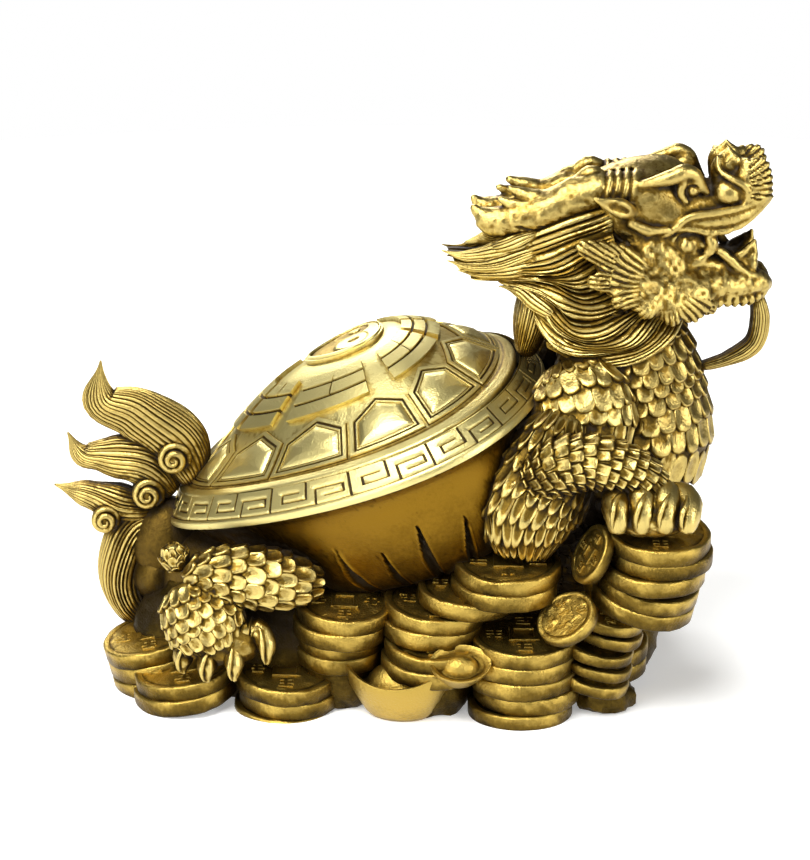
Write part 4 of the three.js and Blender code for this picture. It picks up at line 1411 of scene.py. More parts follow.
        # A quarter of the tone on the skin under the scales and on the rump and its lumps: dark patina between
        # the scales, and painted shade on the rump lumps that fill the gap between tail and hind leg.
        for part in parts:
            part.tone = 0.25 * part.tone
        parts.append(Scales(ScaleCut.SHIELD, 4.0, 4.7, (0.24, 0.86), -1.0, 0.75, 0.65).over(self.neck, 4))
        parts.append(Scales(ScaleCut.SHIELD, 3.4, 3.8, (0.05, 0.95), 1.0, 0.5, 0.5).over(self.chest, 5))
        return Skin.join(parts)

    def legs(self) -> Skin:
        """All four legs."""
        return Skin.join([part for side in (NEAR, FAR) for part in self.front(side) + self.hind(side)])

    def pieces(self) -> list[Piece]:
        """The torso and the legs, dressed."""
        return [Piece("body", self.torso(), AGED), Piece("legs", self.legs(), PATINA)]


# Head

@dataclass(frozen=True)
class Head:
    """Skull, jaws, horns, ears, brows, lips, fangs, frill and beard."""

    beard: Limb = Limb(
        [(95.5, 0, 112), (97.5, 0, 103), (96, 0, 95.5), (89, 0, 91), (77, 0, 87.5)], [2.6, 3, 2.8, 2, 1.4],
        [5, 4.5, 3.5, 2.4, 2], relief=FINE_HAIR,
    )
    frill_edge: Sequence[Point] = (
        (47.9, 19.5, 128.3), (51.0, 21.5, 119.4), (57.5, 21.8, 114.0), (64.9, 20.6, 110.8),
        (72.1, 18.0, 108.0), (77.6, 15.0, 108.0), (82.6, 11.6, 109.3),
    )
    fan_root: tuple[float, float] = (86.5, 141.5)
    cheek: tuple[float, float] = (70.0, 117.5)

    def masses(self, clay: Clay) -> None:
        """Skull, temples, snout and lower jaw, and the open mouth between them.

        Args:
            clay: The form that they are worked into.
        """
        clay.ball((63, 0, 133.5), (15, 12.5, 12.5), 2.0)
        clay.ball((66, 5.5, 139), (9.5, 7.0, 7.0), 2.0)
        clay.rope([(54, 0, 141), (62, 0, 143.5), (71, 0, 144), (78, 0, 140)], [4, 4.5, 4.4, 3], 2.0,
                  (1, 1.4, 1))
        clay.rope([(73, 0, 137.5), (82, 0, 136.6), (89, 0, 137), (95, 0, 139.3)], [10.5, 8.8, 7.2, 4.4], 2.0,
                  (1, 1, 0.6))
        clay.ball((72, 7, 133.5), (8, 5.5, 5.5), 2.0)
        clay.ball((66, 3, 124), (10, 11, 10), 2.0)
        clay.rope([(62, 0, 118), (76, 0, 115.5), (88, 0, 112.8), (95.2, 0, 112.9)], [12, 11, 8.4, 5.3], 2.0,
                  (1, 1, 0.62))
        clay.ball((69, 8.5, 119), (9, 6.5, 9), 2.0)
        clay.rope([(72, 8.4, 116.5), (81, 8.2, 115.2), (90, 6.9, 114.4), (96.5, 4.0, 114.2)],
                  [5.0, 4.8, 4.0, 3.2], 1.5)
        clay.rope([(83, 0, 127.5), (90, 0, 127.2), (104, 0, 128)], [3.8, 5.0, 7.2], 1.0, (1, 3, 1), True)
        clay.ball((76, 6, 126.5), (6, 5.5, 5.5), 1.2)
        clay.rope([(66, 0, 121), (78, 0, 122.5), (88, 0, 120.5)], [6, 5, 2.4], 1.0, (1, 1, 0.6))

    def snout(self, clay: Clay) -> None:
        """Lips, nostril ball with its ribbon, crest blade and fan at the end of the snout.

        Args:
            clay: The form that they are worked into.
        """
        clay.rope([(74, 10.4, 133.2), (83, 9.4, 133.2), (91, 7.8, 134.4), (97, 5.6, 138)],
                  [2.4, 2.6, 2.5, 1.8], 1.0)
        clay.rope([(65.5, 11.6, 129.2), (71, 12.4, 130.3), (76, 12.4, 134.6), (83.7, 11, 135.6),
                   (91.5, 9, 136.8), (98, 6.4, 139.8)], [0.8, 1.0, 1.1, 1.1, 1.0, 0.7], 0.4)
        clay.rope([(70.5, 12.2, 130.4), (75.5, 11.9, 131.6), (82.6, 10.9, 130.2), (89.7, 9.5, 131.4),
                   (95.5, 7.3, 135.2), (99, 5.6, 139)], [0.8, 1.1, 1.2, 1.1, 0.9, 0.7], 0.4)
        clay.ball((87.3, 5.4, 139.8), (4.7, 4.4, 4.6), 0.5)
        clay.rope([(84.1, 5.6, 149.8), (84.6, 7.2, 146.4), (88.0, 9.0, 144.4), (91.3, 9.4, 142.6),
                   (92.7, 9.0, 139.4), (90.6, 8.8, 136.8)], [0.5, 0.8, 0.95, 0.95, 0.85, 0.6], 0.3)
        clay.ball((87.4, 4.0, 146.2), (3.6, 2.6, 4.2), 0.9)
        clay.rope([(84.5, 4.5, 143), (84.2, 4.8, 147), (87.2, 3.6, 151.6)], [2.0, 1.7, 0.45], 0.7)
        clay.rope([(87.2, 3.6, 151.6), (89.2, 4.6, 148.6), (91.6, 5.8, 148.2)], [0.5, 1.7, 1.2], 0.7)
        for tip, radius in (((92.2, 7.2, 148.2), 1.2), ((93.8, 7.4, 146.8), 1.5), ((95.2, 7.4, 148.6), 1.0),
                            ((96.8, 7.4, 148.0), 1.0), ((96.6, 7.3, 145.6), 1.4), ((97.4, 7.0, 143.6), 1.1),
                            ((96.9, 6.7, 141.6), 1.4), ((97.2, 6.3, 139.7), 1.1)):
            clay.rope([(91, 5, 139.6), (0.5 * (91 + tip[0]) + 0.6, 7.2, 0.5 * (139.6 + tip[2])), tip],
                      [2.4, 3.2, 1.15 * radius], 1.5, (1, 0.6, 1))

    def brows(self, clay: Clay) -> None:
        """The brow that curls over the eye, the eye in its hollow and the ear leaf.

        Args:
            clay: The form that they are worked into.
        """
        clay.rope([(63.5, 10.8, 143.4), (68, 11.6, 144.6), (72, 11.7, 145.8), (75, 11.2, 147.0),
                   (77.8, 10.4, 146.0), (79.4, 9.8, 143.2), (81.2, 8.6, 140.6)],
                   [0.9, 1.6, 2.1, 2.3, 1.9, 1.4, 0.9], 0.9)
        clay.rope([(75.4, 11, 147.6), (74.6, 11.4, 144.2), (74.0, 11.4, 141.0), (75.6, 11, 138.6)],
                  [1.2, 1.3, 1.1, 0.7], 0.6)
        clay.ball((76.6, 9.2, 143.0), (3.8, 2.4, 3.4), 0.8)
        clay.ball((77.2, 11.6, 141.6), (2.0, 1.8, 1.9), 0.5, True)
        clay.ball((77.3, 10.2, 141.6), (1.5, 1.3, 1.5), 0.2)
        clay.rope([(60.5, 12.5, 136), (57, 15.6, 138.3), (53.6, 17.3, 139.8), (50.4, 17.6, 141.4)],
                  [2.2, 2.9, 2.0, 0.4], 0.8, (1, 0.55, 1))
        clay.rope([(59.4, 16.2, 137.3), (56.6, 18.2, 138.6), (53, 19.2, 140.1)], [0.9, 1.8, 0.8], 0.5,
                  cut=True)
        clay.rope([(61, 13, 133), (66, 13.6, 131.2), (70.5, 13, 131.5)], [1.4, 1.5, 0.8], 0.9)

    def jaws(self, clay: Clay) -> None:
        """Fangs, the ball in the mouth's corner with its folds, the lower lip, its tusk and the chin curls.

        Args:
            clay: The form that they are worked into.
        """
        clay.rope([(82, 10, 130.6), (82.9, 10.5, 126), (79.4, 10.1, 121.4)], [1.8, 1.6, 0.35], 0.3)
        clay.ball((75.8, 9.8, 126.5), (2.6, 2.6, 2.5), 0.3)
        for reach, size in ((4.1, 0.6), (5.7, 0.6), (7.3, 0.55)):
            bend = np.radians(np.linspace(75, 235, 9))
            clay.rope([(75.9 + reach * np.cos(a), 11.6 - 0.12 * reach,
                        126.4 + reach * np.sin(a)) for a in bend],
                      [0.3, size, size, 0.3], 0.4)
        clay.rope([(80, 9.6, 126.5), (85.4, 9.2, 124.2), (89.5, 8.6, 120.4), (93.9, 7.0, 117),
                   (97.6, 4.6, 116)],
                  [0.9, 1.2, 1.2, 1.1, 1.0], 0.5)
        clay.rope([(88.5, 6.6, 121), (91.6, 6.4, 123.2), (94.9, 4.8, 126.2)], [1.2, 1.1, 0.45], 0.6)
        clay.rope([(93, 6, 116.5), (94.6, 5.6, 121.5), (95.0, 4.8, 126.2)], [2.0, 1.4, 0.45], 0.6)
        clay.rope([(89, 5.4, 118.5), (92.4, 5.2, 120.5), (93.8, 5.0, 123)], [2.6, 2.3, 1.2], 0.8)
        clay.rope([(79, 3.5, 121.5), (87, 3.0, 119.3), (94, 2.5, 117.2)], [5.0, 3.8, 2.6], 1.0, (1, 1.6, 0.6))
        chin = smooth_line(np.array([(80.5, 10.2, 109.4), (87.4, 9.2, 110.0), (92.5, 7.4, 109.6),
                                     (97.4, 4, 111.0)]),
                           np.linspace(0, 1, 9))
        for x, y, z in chin:
            clay.rope([(x, y, z + 2.0), (x + 0.5, y + 0.6, z + 0.8), (x + 0.1, y + 0.2, z - 0.6)],
                      [0.8, 1.3, 0.9], 0.35)

    def frill(self, clay: Clay) -> None:
        """The scalloped frill behind the cheek: flat lobes that spread from it, with a nodule at each point.

        Args:
            clay: The form that they are worked into.
        """
        cx, cz = self.cheek
        for x, y, z in self.frill_edge:
            root = (cx + 0.25 * (x - cx), 11.5, cz + 0.25 * (z - cz))
            bend = (cx + 0.7 * (x - cx), 0.5 * (11.5 + y) + 1.8, cz + 0.7 * (z - cz))
            clay.rope([root, bend, (x, y, z)], [4.4, 4.8, 2.4], 1.8, (1, 0.5, 1))
            clay.ball((x, y, z), (1.5, 1.5, 1.5), 0.4)

    def horns(self, clay: Clay) -> None:
        """The horn that lies back over the mane, ringed at its root, with lumps and forked blunt ends.

        Args:
            clay: The form that they are worked into.
        """
        clay.rope([(61, 6.8, 141.3), (52, 6.4, 140.6), (44.4, 6.2, 137.9), (36.9, 6.0, 134.5),
                   (29.4, 5.8, 132.3), (22, 5.6, 132.4)], [5.0, 5.1, 5.2, 5.1, 4.6, 3.0], 1.0)
        clay.rope([(24, 5.6, 132.3), (20.4, 5.4, 133.7), (18.8, 5.2, 135.3)], [2.8, 2.2, 1.1], 0.6)
        clay.rope([(26, 6.8, 130.1), (22.4, 6.8, 129.9), (20.0, 6.6, 131.1)], [2.6, 1.7, 0.9], 0.6)
        clay.rope([(39, 5.6, 136.4), (33, 5.2, 138.8), (28.4, 5.0, 140.6)], [3.6, 2.4, 1.0], 0.8)
        clay.rope([(33, 6.4, 135.9), (28.6, 6.4, 136.9), (25.6, 6.0, 138.1)], [2.4, 1.8, 0.9], 0.7)
        clay.rope([(54, 5.6, 144.2), (50, 5.2, 145.3), (46.6, 5.2, 143.6)], [1.5, 2.0, 1.3], 0.7)
        clay.rope([(49, 6.6, 142.8), (44, 6.6, 142.2), (40.6, 6.4, 140.4)], [1.4, 1.8, 1.0], 0.7)
        turn = np.linspace(0, ROUND, 25)
        for x in (60.2, 57.9, 55.6, 53.4):
            middle = (x, 6.6, 141.3 - 0.06 * (61 - x))
            path = [(middle[0] + 0.9 * np.cos(t), middle[1] + 5.0 * np.sin(t),
                     middle[2] + 5.1 * np.cos(t)) for t in turn]
            clay.rope(path, [0.5, 0.5], 0.5, cut=True)

    def worked(self, skin: Skin) -> Skin:
        """The chaser's marks: rays on the frill and the fan, stipple on cheek and jaw, grain on the horns.

        Args:
            skin: The plain surface.

        Returns:
            The worked surface, with its tones.
        """
        x, y, z = skin.points[:, 0], np.abs(skin.points[:, 1]), skin.points[:, 2]
        normal = skin.normals()
        height = np.zeros(len(x))
        reach, turn = np.hypot(x - self.cheek[0], z - self.cheek[1]), np.arctan2(z - self.cheek[1],
                                                                                 x - self.cheek[0])
        frill = (y > 9.5) & (reach > 7.0) & (z < 131.5) & (x < 84) & ((turn > 2.35) | (turn < -0.4))
        rays = np.where(reach > 15.0, 13.0, 6.5) * turn + 0.35 * grain(skin.points, 6.0, 4) + 0.04 * reach
        height -= 0.55 * frill * smoothstep(np.abs((rays % 1.0) - 0.5), 0.16, 0.5) * smoothstep(reach, 6.0,
                                                                                                12.0)
        rx, rz = self.fan_root
        far, bend = np.hypot(x - rx, z - rz), np.arctan2(z - rz, x - rx)
        fan = (x > 92.6) & (far > 5.5) & (y > 4.6) & (z > 138.6)
        height -= 0.6 * fan * smoothstep(np.abs(((bend * 6.5) % 1.0) - 0.5), 0.2, 0.5)
        stipple = (x > 58) & (z < 131) & (z > 106) & ~frill
        height += 0.24 * stipple * grain(skin.points, 1.3, 5)
        horn = (x < 58) & (z > 129)
        height += horn * (0.2 * grain(skin.points, 2.8, 6) + 0.12 * grain(skin.points, 1.3, 7))
        height += 0.05 * grain(skin.points, 1.4, 8)
        skin.points = skin.points + normal * height[:, None]
        skin.tone = hollows(skin)
        return skin

    def skin(self) -> Skin:
        """Everything of the head: masses first, then the forms laid on them, then the chaser's marks.

        Returns:
            The surface.
        """
        clay = Clay((14.0, 0.0, 102.0), (104.0, 24.5, 156.5), 0.5)
        self.masses(clay)
        self.frill(clay)
        self.horns(clay)
        self.snout(clay)
        self.brows(clay)
        self.jaws(clay)
        return Skin.join([self.worked(clay.skin()), self.beard.skin(40, seed=3)])

    def pieces(self) -> list[Piece]:
        """The head, dressed."""
        return [Piece("head", self.skin(), AGED)]


# Mane and tail

@dataclass(frozen=True)
class Mane:
    """The mane: on each side one grooved sheet through its flow lines, with free lock tips behind it.

    Attributes:
        flow: Lines of the far side along which the strands run, from under the frill back to their tips.
        strands: Strands across the sheet.
        groove: Depth of the grooves between them in mm.
    """

    flow: Sequence[Sequence[Point]] = (
        ((56, 9, 137.5), (45.5, 10.5, 134.5), (37.6, 10, 131.2), (30.7, 8, 127.6), (22.5, 5.5, 122.6),
         (11.5, 2.4, 122.3)),
        ((56, 11.5, 130.5), (41.1, 14, 124.2), (33.6, 12, 122.2), (25.5, 8.5, 119.4), (15.3, 4, 117.4)),
        ((57, 13, 124.6), (42.4, 15.5, 119.4), (34.9, 13.5, 118.3), (28.6, 9.5, 118), (19.1, 5, 116.8)),
        ((58, 14, 117), (47.5, 16.5, 113.9), (39.9, 15.5, 116.2), (33.7, 12, 116.8), (26.1, 8, 116),
         (18.3, 4.6, 115.2)),
        ((61, 15, 111), (51.4, 17.5, 106.7), (44.4, 17.5, 107.9), (39.4, 15, 112.3), (34.4, 11.5, 113.8),
         (27.5, 7, 114.2)),
        ((65.5, 15, 109), (56.5, 18.5, 103), (48.2, 19, 101.8), (41.3, 17, 104.4), (36.9, 13.5, 109.6),
         (31.3, 9, 112.2)),
        ((70, 14, 108.3), (62.3, 18, 100.2), (53.4, 19.5, 98.5), (45.8, 18.5, 98.5), (39.6, 14, 100.6),
         (35, 9, 106)),
        ((76.7, 10.5, 107.7), (73.4, 14, 101.3), (64.4, 17.5, 95.3), (54.8, 18.8, 94.2), (45.9, 17, 95.2),
         (38.7, 11, 97)),
    )
    strands: int = 34
    groove: float = 1.0

    def sheet(self, side: float) -> Skin:
        """The sheet of one side: eased lines through the flow lines, each strand a ridge between two grooves.

        Args:
            side: NEAR or FAR.

        Returns:
            The closed sheet.
        """
        dice = np.random.default_rng(SEED + int(60 + side))
        along = np.linspace(0, 1, 72)
        lines = np.stack([smooth_line(np.array(line, float), along) for line in self.flow])
        place, shape = strand_lines(dice, self.strands, (0.6, 1.5), (0.6, 1.2), 0.3)
        across, shape = np.append(place, 1.0), np.append(shape, -1.0)
        tone = np.append(np.tile([0.0, 0.75, 1.0, 0.75], self.strands), 0.0)
        wander = 0.012 * np.sin(ROUND * (1.6 * along[None, :] + 2.3 * across[:, None]))
        place = np.clip(across[:, None] + wander * np.minimum(1, 8 * across * (1 - across))[:, None], 0, 1)
        grid = self.between(lines, place)
        out = unit(np.cross(np.gradient(grid, axis=0), np.gradient(grid, axis=1)))
        out *= np.where(out[..., 1:2] < 0, -1.0, 1.0)
        lock = 1.5 * np.sin(np.pi * ((place * 6.5 + 0.3 * np.sin(5 * along)[None, :]) % 1.0)) ** 0.6
        fade = smoothstep(along, 0.0, 0.08) * (1 - 0.6 * smoothstep(along, 0.85, 1.0))
        lift = lock - 1.1 + self.groove * shape[:, None] * fade + 0.1 * grain(grid, 1.5, 9)
        front = grid + out * lift[..., None]
        back = grid * [1.0, 0.3, 1.0]
        shade = tone[:, None] * (0.7 + 0.4 * np.clip(lock / 1.2, 0, 1))
        turn = np.array([1.0, side, 1.0])
        return Skin.sheet(front * turn, back * turn, shade)

    def between(self, lines: Array, place: Array) -> Array:
        """Points between the flow lines: at each share along them, the even curve through their points.

        Args:
            lines: Points of shape (lines, along, 3).
            place: Shares across, 0 at the first line and 1 at the last, of shape (across, along).

        Returns:
            Points of shape (across, along, 3).
        """
        ends = np.concatenate([2 * lines[:1] - lines[1:2], lines, 2 * lines[-1:] - lines[-2:-1]])
        spot = place * (len(lines) - 1)
        i = np.minimum(spot.astype(int), len(lines) - 2)
        w = (spot - i)[..., None]
        column = np.arange(lines.shape[1])[None, :]
        p0, p1, p2, p3 = (ends[i + k, column] for k in range(4))
        return 0.5 * (2 * p1 + (p2 - p0) * w + (2 * p0 - 5 * p1 + 4 * p2 - p3) * w**2
                      + (3 * p1 - p0 - 3 * p2 + p3) * w**3)

    def tips(self, side: float) -> list[Skin]:
        """The free lock tips behind the sheet, in two clusters.

        Args:
            side: NEAR or FAR.

        Returns:
            One surface a lock.
        """
        rows = [
            ([(36, 9, 129), (24, 6.5, 123.4), (16, 4, 121.4), (9.8, 3, 122.8)], [3.2, 3.0, 2.0, 0.4]),
            ([(36, 10, 124.5), (25, 7.5, 120.4), (17, 4.5, 118.8), (11.3, 2.6, 119.8)], [3.2, 2.8, 1.9, 0.4]),
            ([(38, 11, 121), (27, 8, 118.4), (20, 5, 116.8), (14.3, 4, 117.4)], [3.2, 2.8, 1.8, 0.4]),
            ([(36, 9, 129.5), (31.1, 9.4, 127.2), (26.1, 8.4, 125.4), (21.7, 5.6, 123.6)],
             [1.6, 2.4, 2.0, 0.4]),
            ([(40, 15, 108), (35, 11.5, 111), (30, 8, 113.4), (25.4, 6.4, 113.6)], [2.6, 2.6, 2.0, 0.4]),
        ]
        return [Limb(path, broad, [0.8 * b for b in broad], (0.0, 1.0, 0.15), relief=FINE_HAIR).side(side)
                .skin(30, seed=70 + i) for i, (path, broad) in enumerate(rows)]

    def side(self, side: float) -> Skin:
        """The sheet and the lock tips of one side."""
        return Skin.join([self.sheet(side), *self.tips(side)])

    def nape(self) -> Skin:
        """The locks on the middle plane.

        Returns:
            Their surface.
        """
        rows = [
            Limb([(60, 0, 139), (46, 0, 134), (32, 0, 128), (16, 0, 124)], [6, 7, 6, 1], [9, 9, 6, 2],
                 relief=HAIR),
            Limb([(50, 0, 130), (42, 0, 118), (36, 0, 106), (33, 0, 92)], [9, 8, 6, 5], [11, 11, 10, 9],
                 relief=HAIR),
        ]
        return Skin.join(limb.skin(34, seed=80 + i) for i, limb in enumerate(rows))

    def pieces(self) -> list[Piece]:
        """Both sides, dressed, the nape with the far one."""
        far = Skin.join([self.side(FAR), self.nape()])
        return [Piece("mane_near", self.side(NEAR), PATINA, 0.36), Piece("mane_far", far, PATINA, 0.36)]


@dataclass(frozen=True)
class Tail:
    """The flaming tail: three tongues with a scroll at the foot of each, and a strand down to the coins."""

    def strands(self) -> list[Limb]:
        """The tongues and the fall."""
        thick = [7, 6, 4.5, 1]
        return [
            Limb([(-58, 0, 54), (-64, 0, 68), (-75, 0, 75), (-84, 0, 78.5), (-84, 0, 90.5)],
                 [7, 9, 8, 6, 0.8], thick,
                 relief=HAIR),
            Limb([(-64, 0, 52), (-74, 0, 61), (-84, 0, 62.5), (-90, 0, 63), (-93.8, 0, 69.5)],
                 [6, 7, 6.5, 4, 0.8],
                 thick, relief=HAIR),
            Limb([(-70, 0, 46), (-80, 0, 48.5), (-88, 0, 51), (-98, 0, 54)], [6, 6, 4, 0.8], thick,
                 relief=HAIR),
            Limb([(-60, 0, 44), (-75, 0, 42), (-80, 0, 30), (-78, 0, 20), (-68, 0, 9)], [8, 7, 6.5, 6, 4],
                 [7, 6, 6, 6, 5], relief=HAIR),
        ]

    def scroll(self, x: float, z: float, r: float) -> list[Skin]:
        """A round boss with a spiral rib on both faces.

        Args:
            x: Place of its middle.
            z: Height of its middle.
            r: Its radius in mm.

        Returns:
            The boss and its ribs.
        """
        turn = np.linspace(0, 2.3 * ROUND, 26)
        reach = 0.6 + (r - 1.4) * turn / turn[-1]
        parts = [lump((x, 0, z), (r - 0.4, 8.0, r - 0.4), 20, 30)]
        for side in (NEAR, FAR):
            deep = side * 8.2 * np.sqrt(np.clip(1 - (reach / r) ** 2, 0.05, 1))
            path = np.stack([x + reach * np.cos(-turn + 0.8), deep, z + reach * np.sin(-turn + 0.8)], -1)
            parts.append(Limb([tuple(p) for p in path], [0.9, 1.1, 1.3], [0.9, 1.0, 1.2]).skin(90, 10, 5))
        return parts

    def skin(self) -> Skin:
        """Everything of the tail.

        Returns:
            The surface.
        """
        parts = [limb.skin(48, seed=90 + i) for i, limb in enumerate(self.strands())]
        for x, z, r in ((-64, 63.5, 5.2), (-71.5, 53, 5), (-83.5, 45.5, 4.4)):
            parts += self.scroll(x, z, r)
        return Skin.join(parts)

    def pieces(self) -> list[Piece]:
        """The tail, dressed."""
        return [Piece("tail", self.skin(), AGED)]


# Heap

@dataclass(frozen=True)
class Stack:
    """A pile of coins: place and height of its top face, count, lean and roll in degrees, size."""

    x: float
    y: float
    top: float
    count: int
    lean: float = 0.0
    roll: float = 0.0
    size: float = 1.0


@dataclass(frozen=True)
class Heap:
    """The mound with its coin stacks and boat ingots."""

    diameter: float = 28.0
    thickness: float = 4.7
    stacks: Sequence[Stack] = (
        Stack(-71, -14, 15.5, 3, -14), Stack(-61, -26, 10.5, 2, -8), Stack(-32.5, -29, 10.6, 3, 2, 2),
        Stack(-16.5, -28, 30.5, 2, 2, 3, 0.94), Stack(-17.5, -26, 21.5, 2, 0, 0, 0.84),
        Stack(8.5, -28.5, 31, 2, 4, 2),
        Stack(17.5, -29.5, 36, 1, 3, 3), Stack(28, -31, 43.5, 2, 1, 2, 1.04),
        Stack(8, -33, 21.5, 2, 2, 3, 0.96),
        Stack(32.5, -33, 22.7, 5, 0, 0, 1.04), Stack(68.5, -36, 54, 3, 2, 2), Stack(66.5, -34, 40, 2, 12, 5),
        Stack(56, -33, 30, 5, 13, 0, 0.7), Stack(-66, 22, 12.5, 2, -10), Stack(-36, 27, 12, 3, 2, -2),
        Stack(-8, 26, 29, 3, 2, -3), Stack(26, 30, 43, 8, 1, 0, 1.04), Stack(69, 36, 54, 3, 2, -2, 1.02),
        Stack(63, 34, 40, 5, 6, -3), Stack(54, -11, 13, 2, 2), Stack(55, 12, 17.5, 3, 3),
        Stack(61, 1, 33, 3, 8),
    )

    def turn(self, points: Array, lean: float, roll: float) -> Array:
        """Points rolled to the side and then leaned to the neck, in degrees.

        Args:
            points: The points.
            lean: Lean to the neck.
            roll: Roll to the side.

        Returns:
            The turned points.
        """
        r, a = np.radians(roll), np.radians(lean)
        x, y, z = points[..., 0], points[..., 1], points[..., 2]
        y, z = y * np.cos(r) - z * np.sin(r), y * np.sin(r) + z * np.cos(r)
        return np.stack([x * np.cos(a) + z * np.sin(a), y, z * np.cos(a) - x * np.sin(a)], -1)

    def coin(self, centre: Array, lean: float, roll: float, size: float, struck: bool,
             seed: int) -> list[Skin]:
        """One coin: a turned profile with a raised rim round a worn field.

        Args:
            centre: Middle of the coin.
            lean: Lean to the neck in degrees.
            roll: Roll to the side in degrees.
            size: Size to the common coin.
            struck: Whether its face shows the square hole's frame and four groups of strokes.
            seed: Chooses the wear.

        Returns:
            The coin, and its frame and strokes.
        """
        r = self.diameter / 2 * size
        h = self.thickness * (0.7 if size < 0.8 else 1.0) / 2
        rim = min(1.7, 0.15 * r)
        field_edge = r - rim - 0.35
        spread = np.linspace(0.12, 1.0, 11 if struck else 3) * field_edge
        face = [(a, h - 0.3) for a in spread] + [(r - rim, h - 0.02), (r - rim * 0.45, h),
                                                 (r - 0.3, h - 0.08),
                                                 (r, h - 0.45)]
        profile = np.array(face + [(r + 0.02, 0.0)] + [(a, -b) for a,
                                                       b in (face[::-1] if not struck else face[:-6:-1])])
        tone = np.interp(profile[:, 0], [0, field_edge - 0.5, field_edge, r - rim, r - 0.2, r],
                         [0.95, 0.9, 0.5, 1, 1, 0.7])
        # The lower half of the edge and the underside darken downwards: painted shade where the coin sits on
        # the one below.
        tone = np.where(profile[:, 1] < 0.3, np.interp(profile[:, 1], [-h, -h + 0.6, 0.3],
                                                       [0.08, 0.34, 0.55]), tone)
        angle = bearings(72 if struck else 44)
        rr, aa = np.meshgrid(profile[:, 0], angle, indexing="ij")
        grid = np.stack([rr * np.cos(aa), rr * np.sin(aa), np.repeat(profile[:, 1:], len(angle), axis=1)], -1)
        world = grid + np.array([seed * 31.7, 0, 0])
        worn = grain(world, 2.2, seed) * 0.2 + grain(world, 6.0, seed + 1) * 0.26
        crumb = 0.65 * np.clip(grain(world, 1.8, seed + 3), -0.05, 0.6) * (rr < field_edge) * (rr > 0.3 * r)
        grid = grid + np.stack([0 * worn, 0 * worn, (worn + crumb) * np.sign(grid[..., 2])], -1)
        grid[..., :2] *= (1 + 0.024 * grain(world, 7.0, seed + 2))[..., None]
        shade = np.clip(tone[:, None] + 0.9 * worn + 0.8 * crumb, 0, 1)
        poles = np.array([[0, 0, h - 0.3], [0, 0, 0.3 - h]])
        parts = [Skin.tube(self.turn(grid, lean, roll) + centre, shade,
                           *(self.turn(poles, lean, roll) + centre))]
        if struck:
            parts.append(self.strokes(centre, lean, roll, r, h, seed))
        return parts

    def strokes(self, centre: Array, lean: float, roll: float, r: float, h: float, seed: int) -> Skin:
        """The frame of the square hole and four groups of shallow strokes, each a low bar with sloping sides.

        Args:
            centre: Middle of the coin.
            lean: Its lean in degrees.
            roll: Its roll in degrees.
            r: Its radius in mm.
            h: Half its thickness.
            seed: Chooses the strokes.

        Returns:
            The bars as one surface.
        """
        dice = np.random.default_rng(SEED + seed)
        s = 0.23 * r
        t = 0.04 * r
        bars = [(0, s, s * 1.2, t), (0, -s, s * 1.2, t), (s, 0, t, s * 1.2), (-s, 0, t, s * 1.2)]
        for gx, gy in ((0, 1), (0, -1), (1, 0), (-1, 0)):
            cx, cy = gx * 0.56 * r, gy * 0.56 * r
            for k in range(3):
                bars.append((cx + dice.normal(0, 0.1), cy + (k - 1) * 0.125 * r, dice.uniform(0.09, 0.16) * r,
                             0.8 * t))
            bars.append((cx + dice.uniform(-0.06, 0.06) * r, cy, 0.8 * t, 0.16 * r))
        place = np.array(bars)
        corner = np.array([(-1, -1), (1, -1), (1, 1), (-1, 1)], float)
        low = place[:, None, :2] + corner * (place[:, None, 2:] + 0.25)
        high = place[:, None, :2] + corner * place[:, None, 2:]
        level = np.full(low.shape[:2] + (1,), h)
        points = np.concatenate([np.concatenate([low, level - 0.9], -1),
                                 np.concatenate([high, level + 0.1], -1)], 1)
        quads = np.array([[3, 2, 1, 0], [4, 5, 6, 7], [0, 1, 5, 4], [1, 2, 6, 5], [2, 3, 7, 6], [3, 0, 4, 7]])
        tone = np.tile([0.2] * 4 + [1.0] * 4, (len(bars), 1))
        placed = self.turn(points, lean, roll) + centre
        return Skin.copies(placed, quads, np.zeros((0, 3), dtype=np.int64), tone)

    def pile(self, stack: Stack, seed: int) -> list[Skin]:
        """The coins of one stack, each a little out of line with the one below.

        Args:
            stack: The stack.
            seed: Chooses the wear.

        Returns:
            The coins from the top down.
        """
        seat = self.thickness * 0.985
        slope, tip = np.sin(np.radians(stack.lean)), np.sin(np.radians(stack.roll))
        parts = []
        for i in range(stack.count):
            down = (i + 0.5) * seat
            drift = 0.0 if i == 0 else 0.9 * np.sin(i * 2.4 + stack.x)
            centre = np.array([stack.x, stack.y, stack.top]) + [drift - slope * down,
                                                                0.6 * drift + tip * down, -down]
            roll = stack.roll - np.sign(stack.y) * (4.0 if i == 0 else 2.0)
            parts += self.coin(centre, stack.lean, roll, stack.size, i == 0, seed + i)
        return parts

    def ingot(self, foot: Point, yaw: float, tip: float, size: float, rise: float = 0.3) -> Skin:
        """A boat-shaped ingot: a turned cup, longer one way, its ends drawn up, with a round boss inside.

        Args:
            foot: Middle of its foot.
            yaw: Turn about the vertical in degrees.
            tip: Tip to the viewer in degrees.
            size: Size to the common ingot.
            rise: How far its ends are drawn up, to its half length.

        Returns:
            The closed surface.
        """
        half = 9.6 * size
        profile = np.array([(0.3, 0), (0.55, 0), (0.66, 0.16), (0.8, 0.45), (0.94, 0.8), (1, 0.96),
                            (0.985, 1.02), (0.9, 1.0), (0.78, 0.86), (0.66, 0.78), (0.6, 0.8), (0.55, 0.9),
                            (0.44, 1.04), (0.3, 1.14), (0.15, 1.19)])
        angle = bearings(48)
        r, a = np.meshgrid(profile[:, 0], angle, indexing="ij")
        h = np.repeat(profile[:, 1:], len(angle), axis=1)

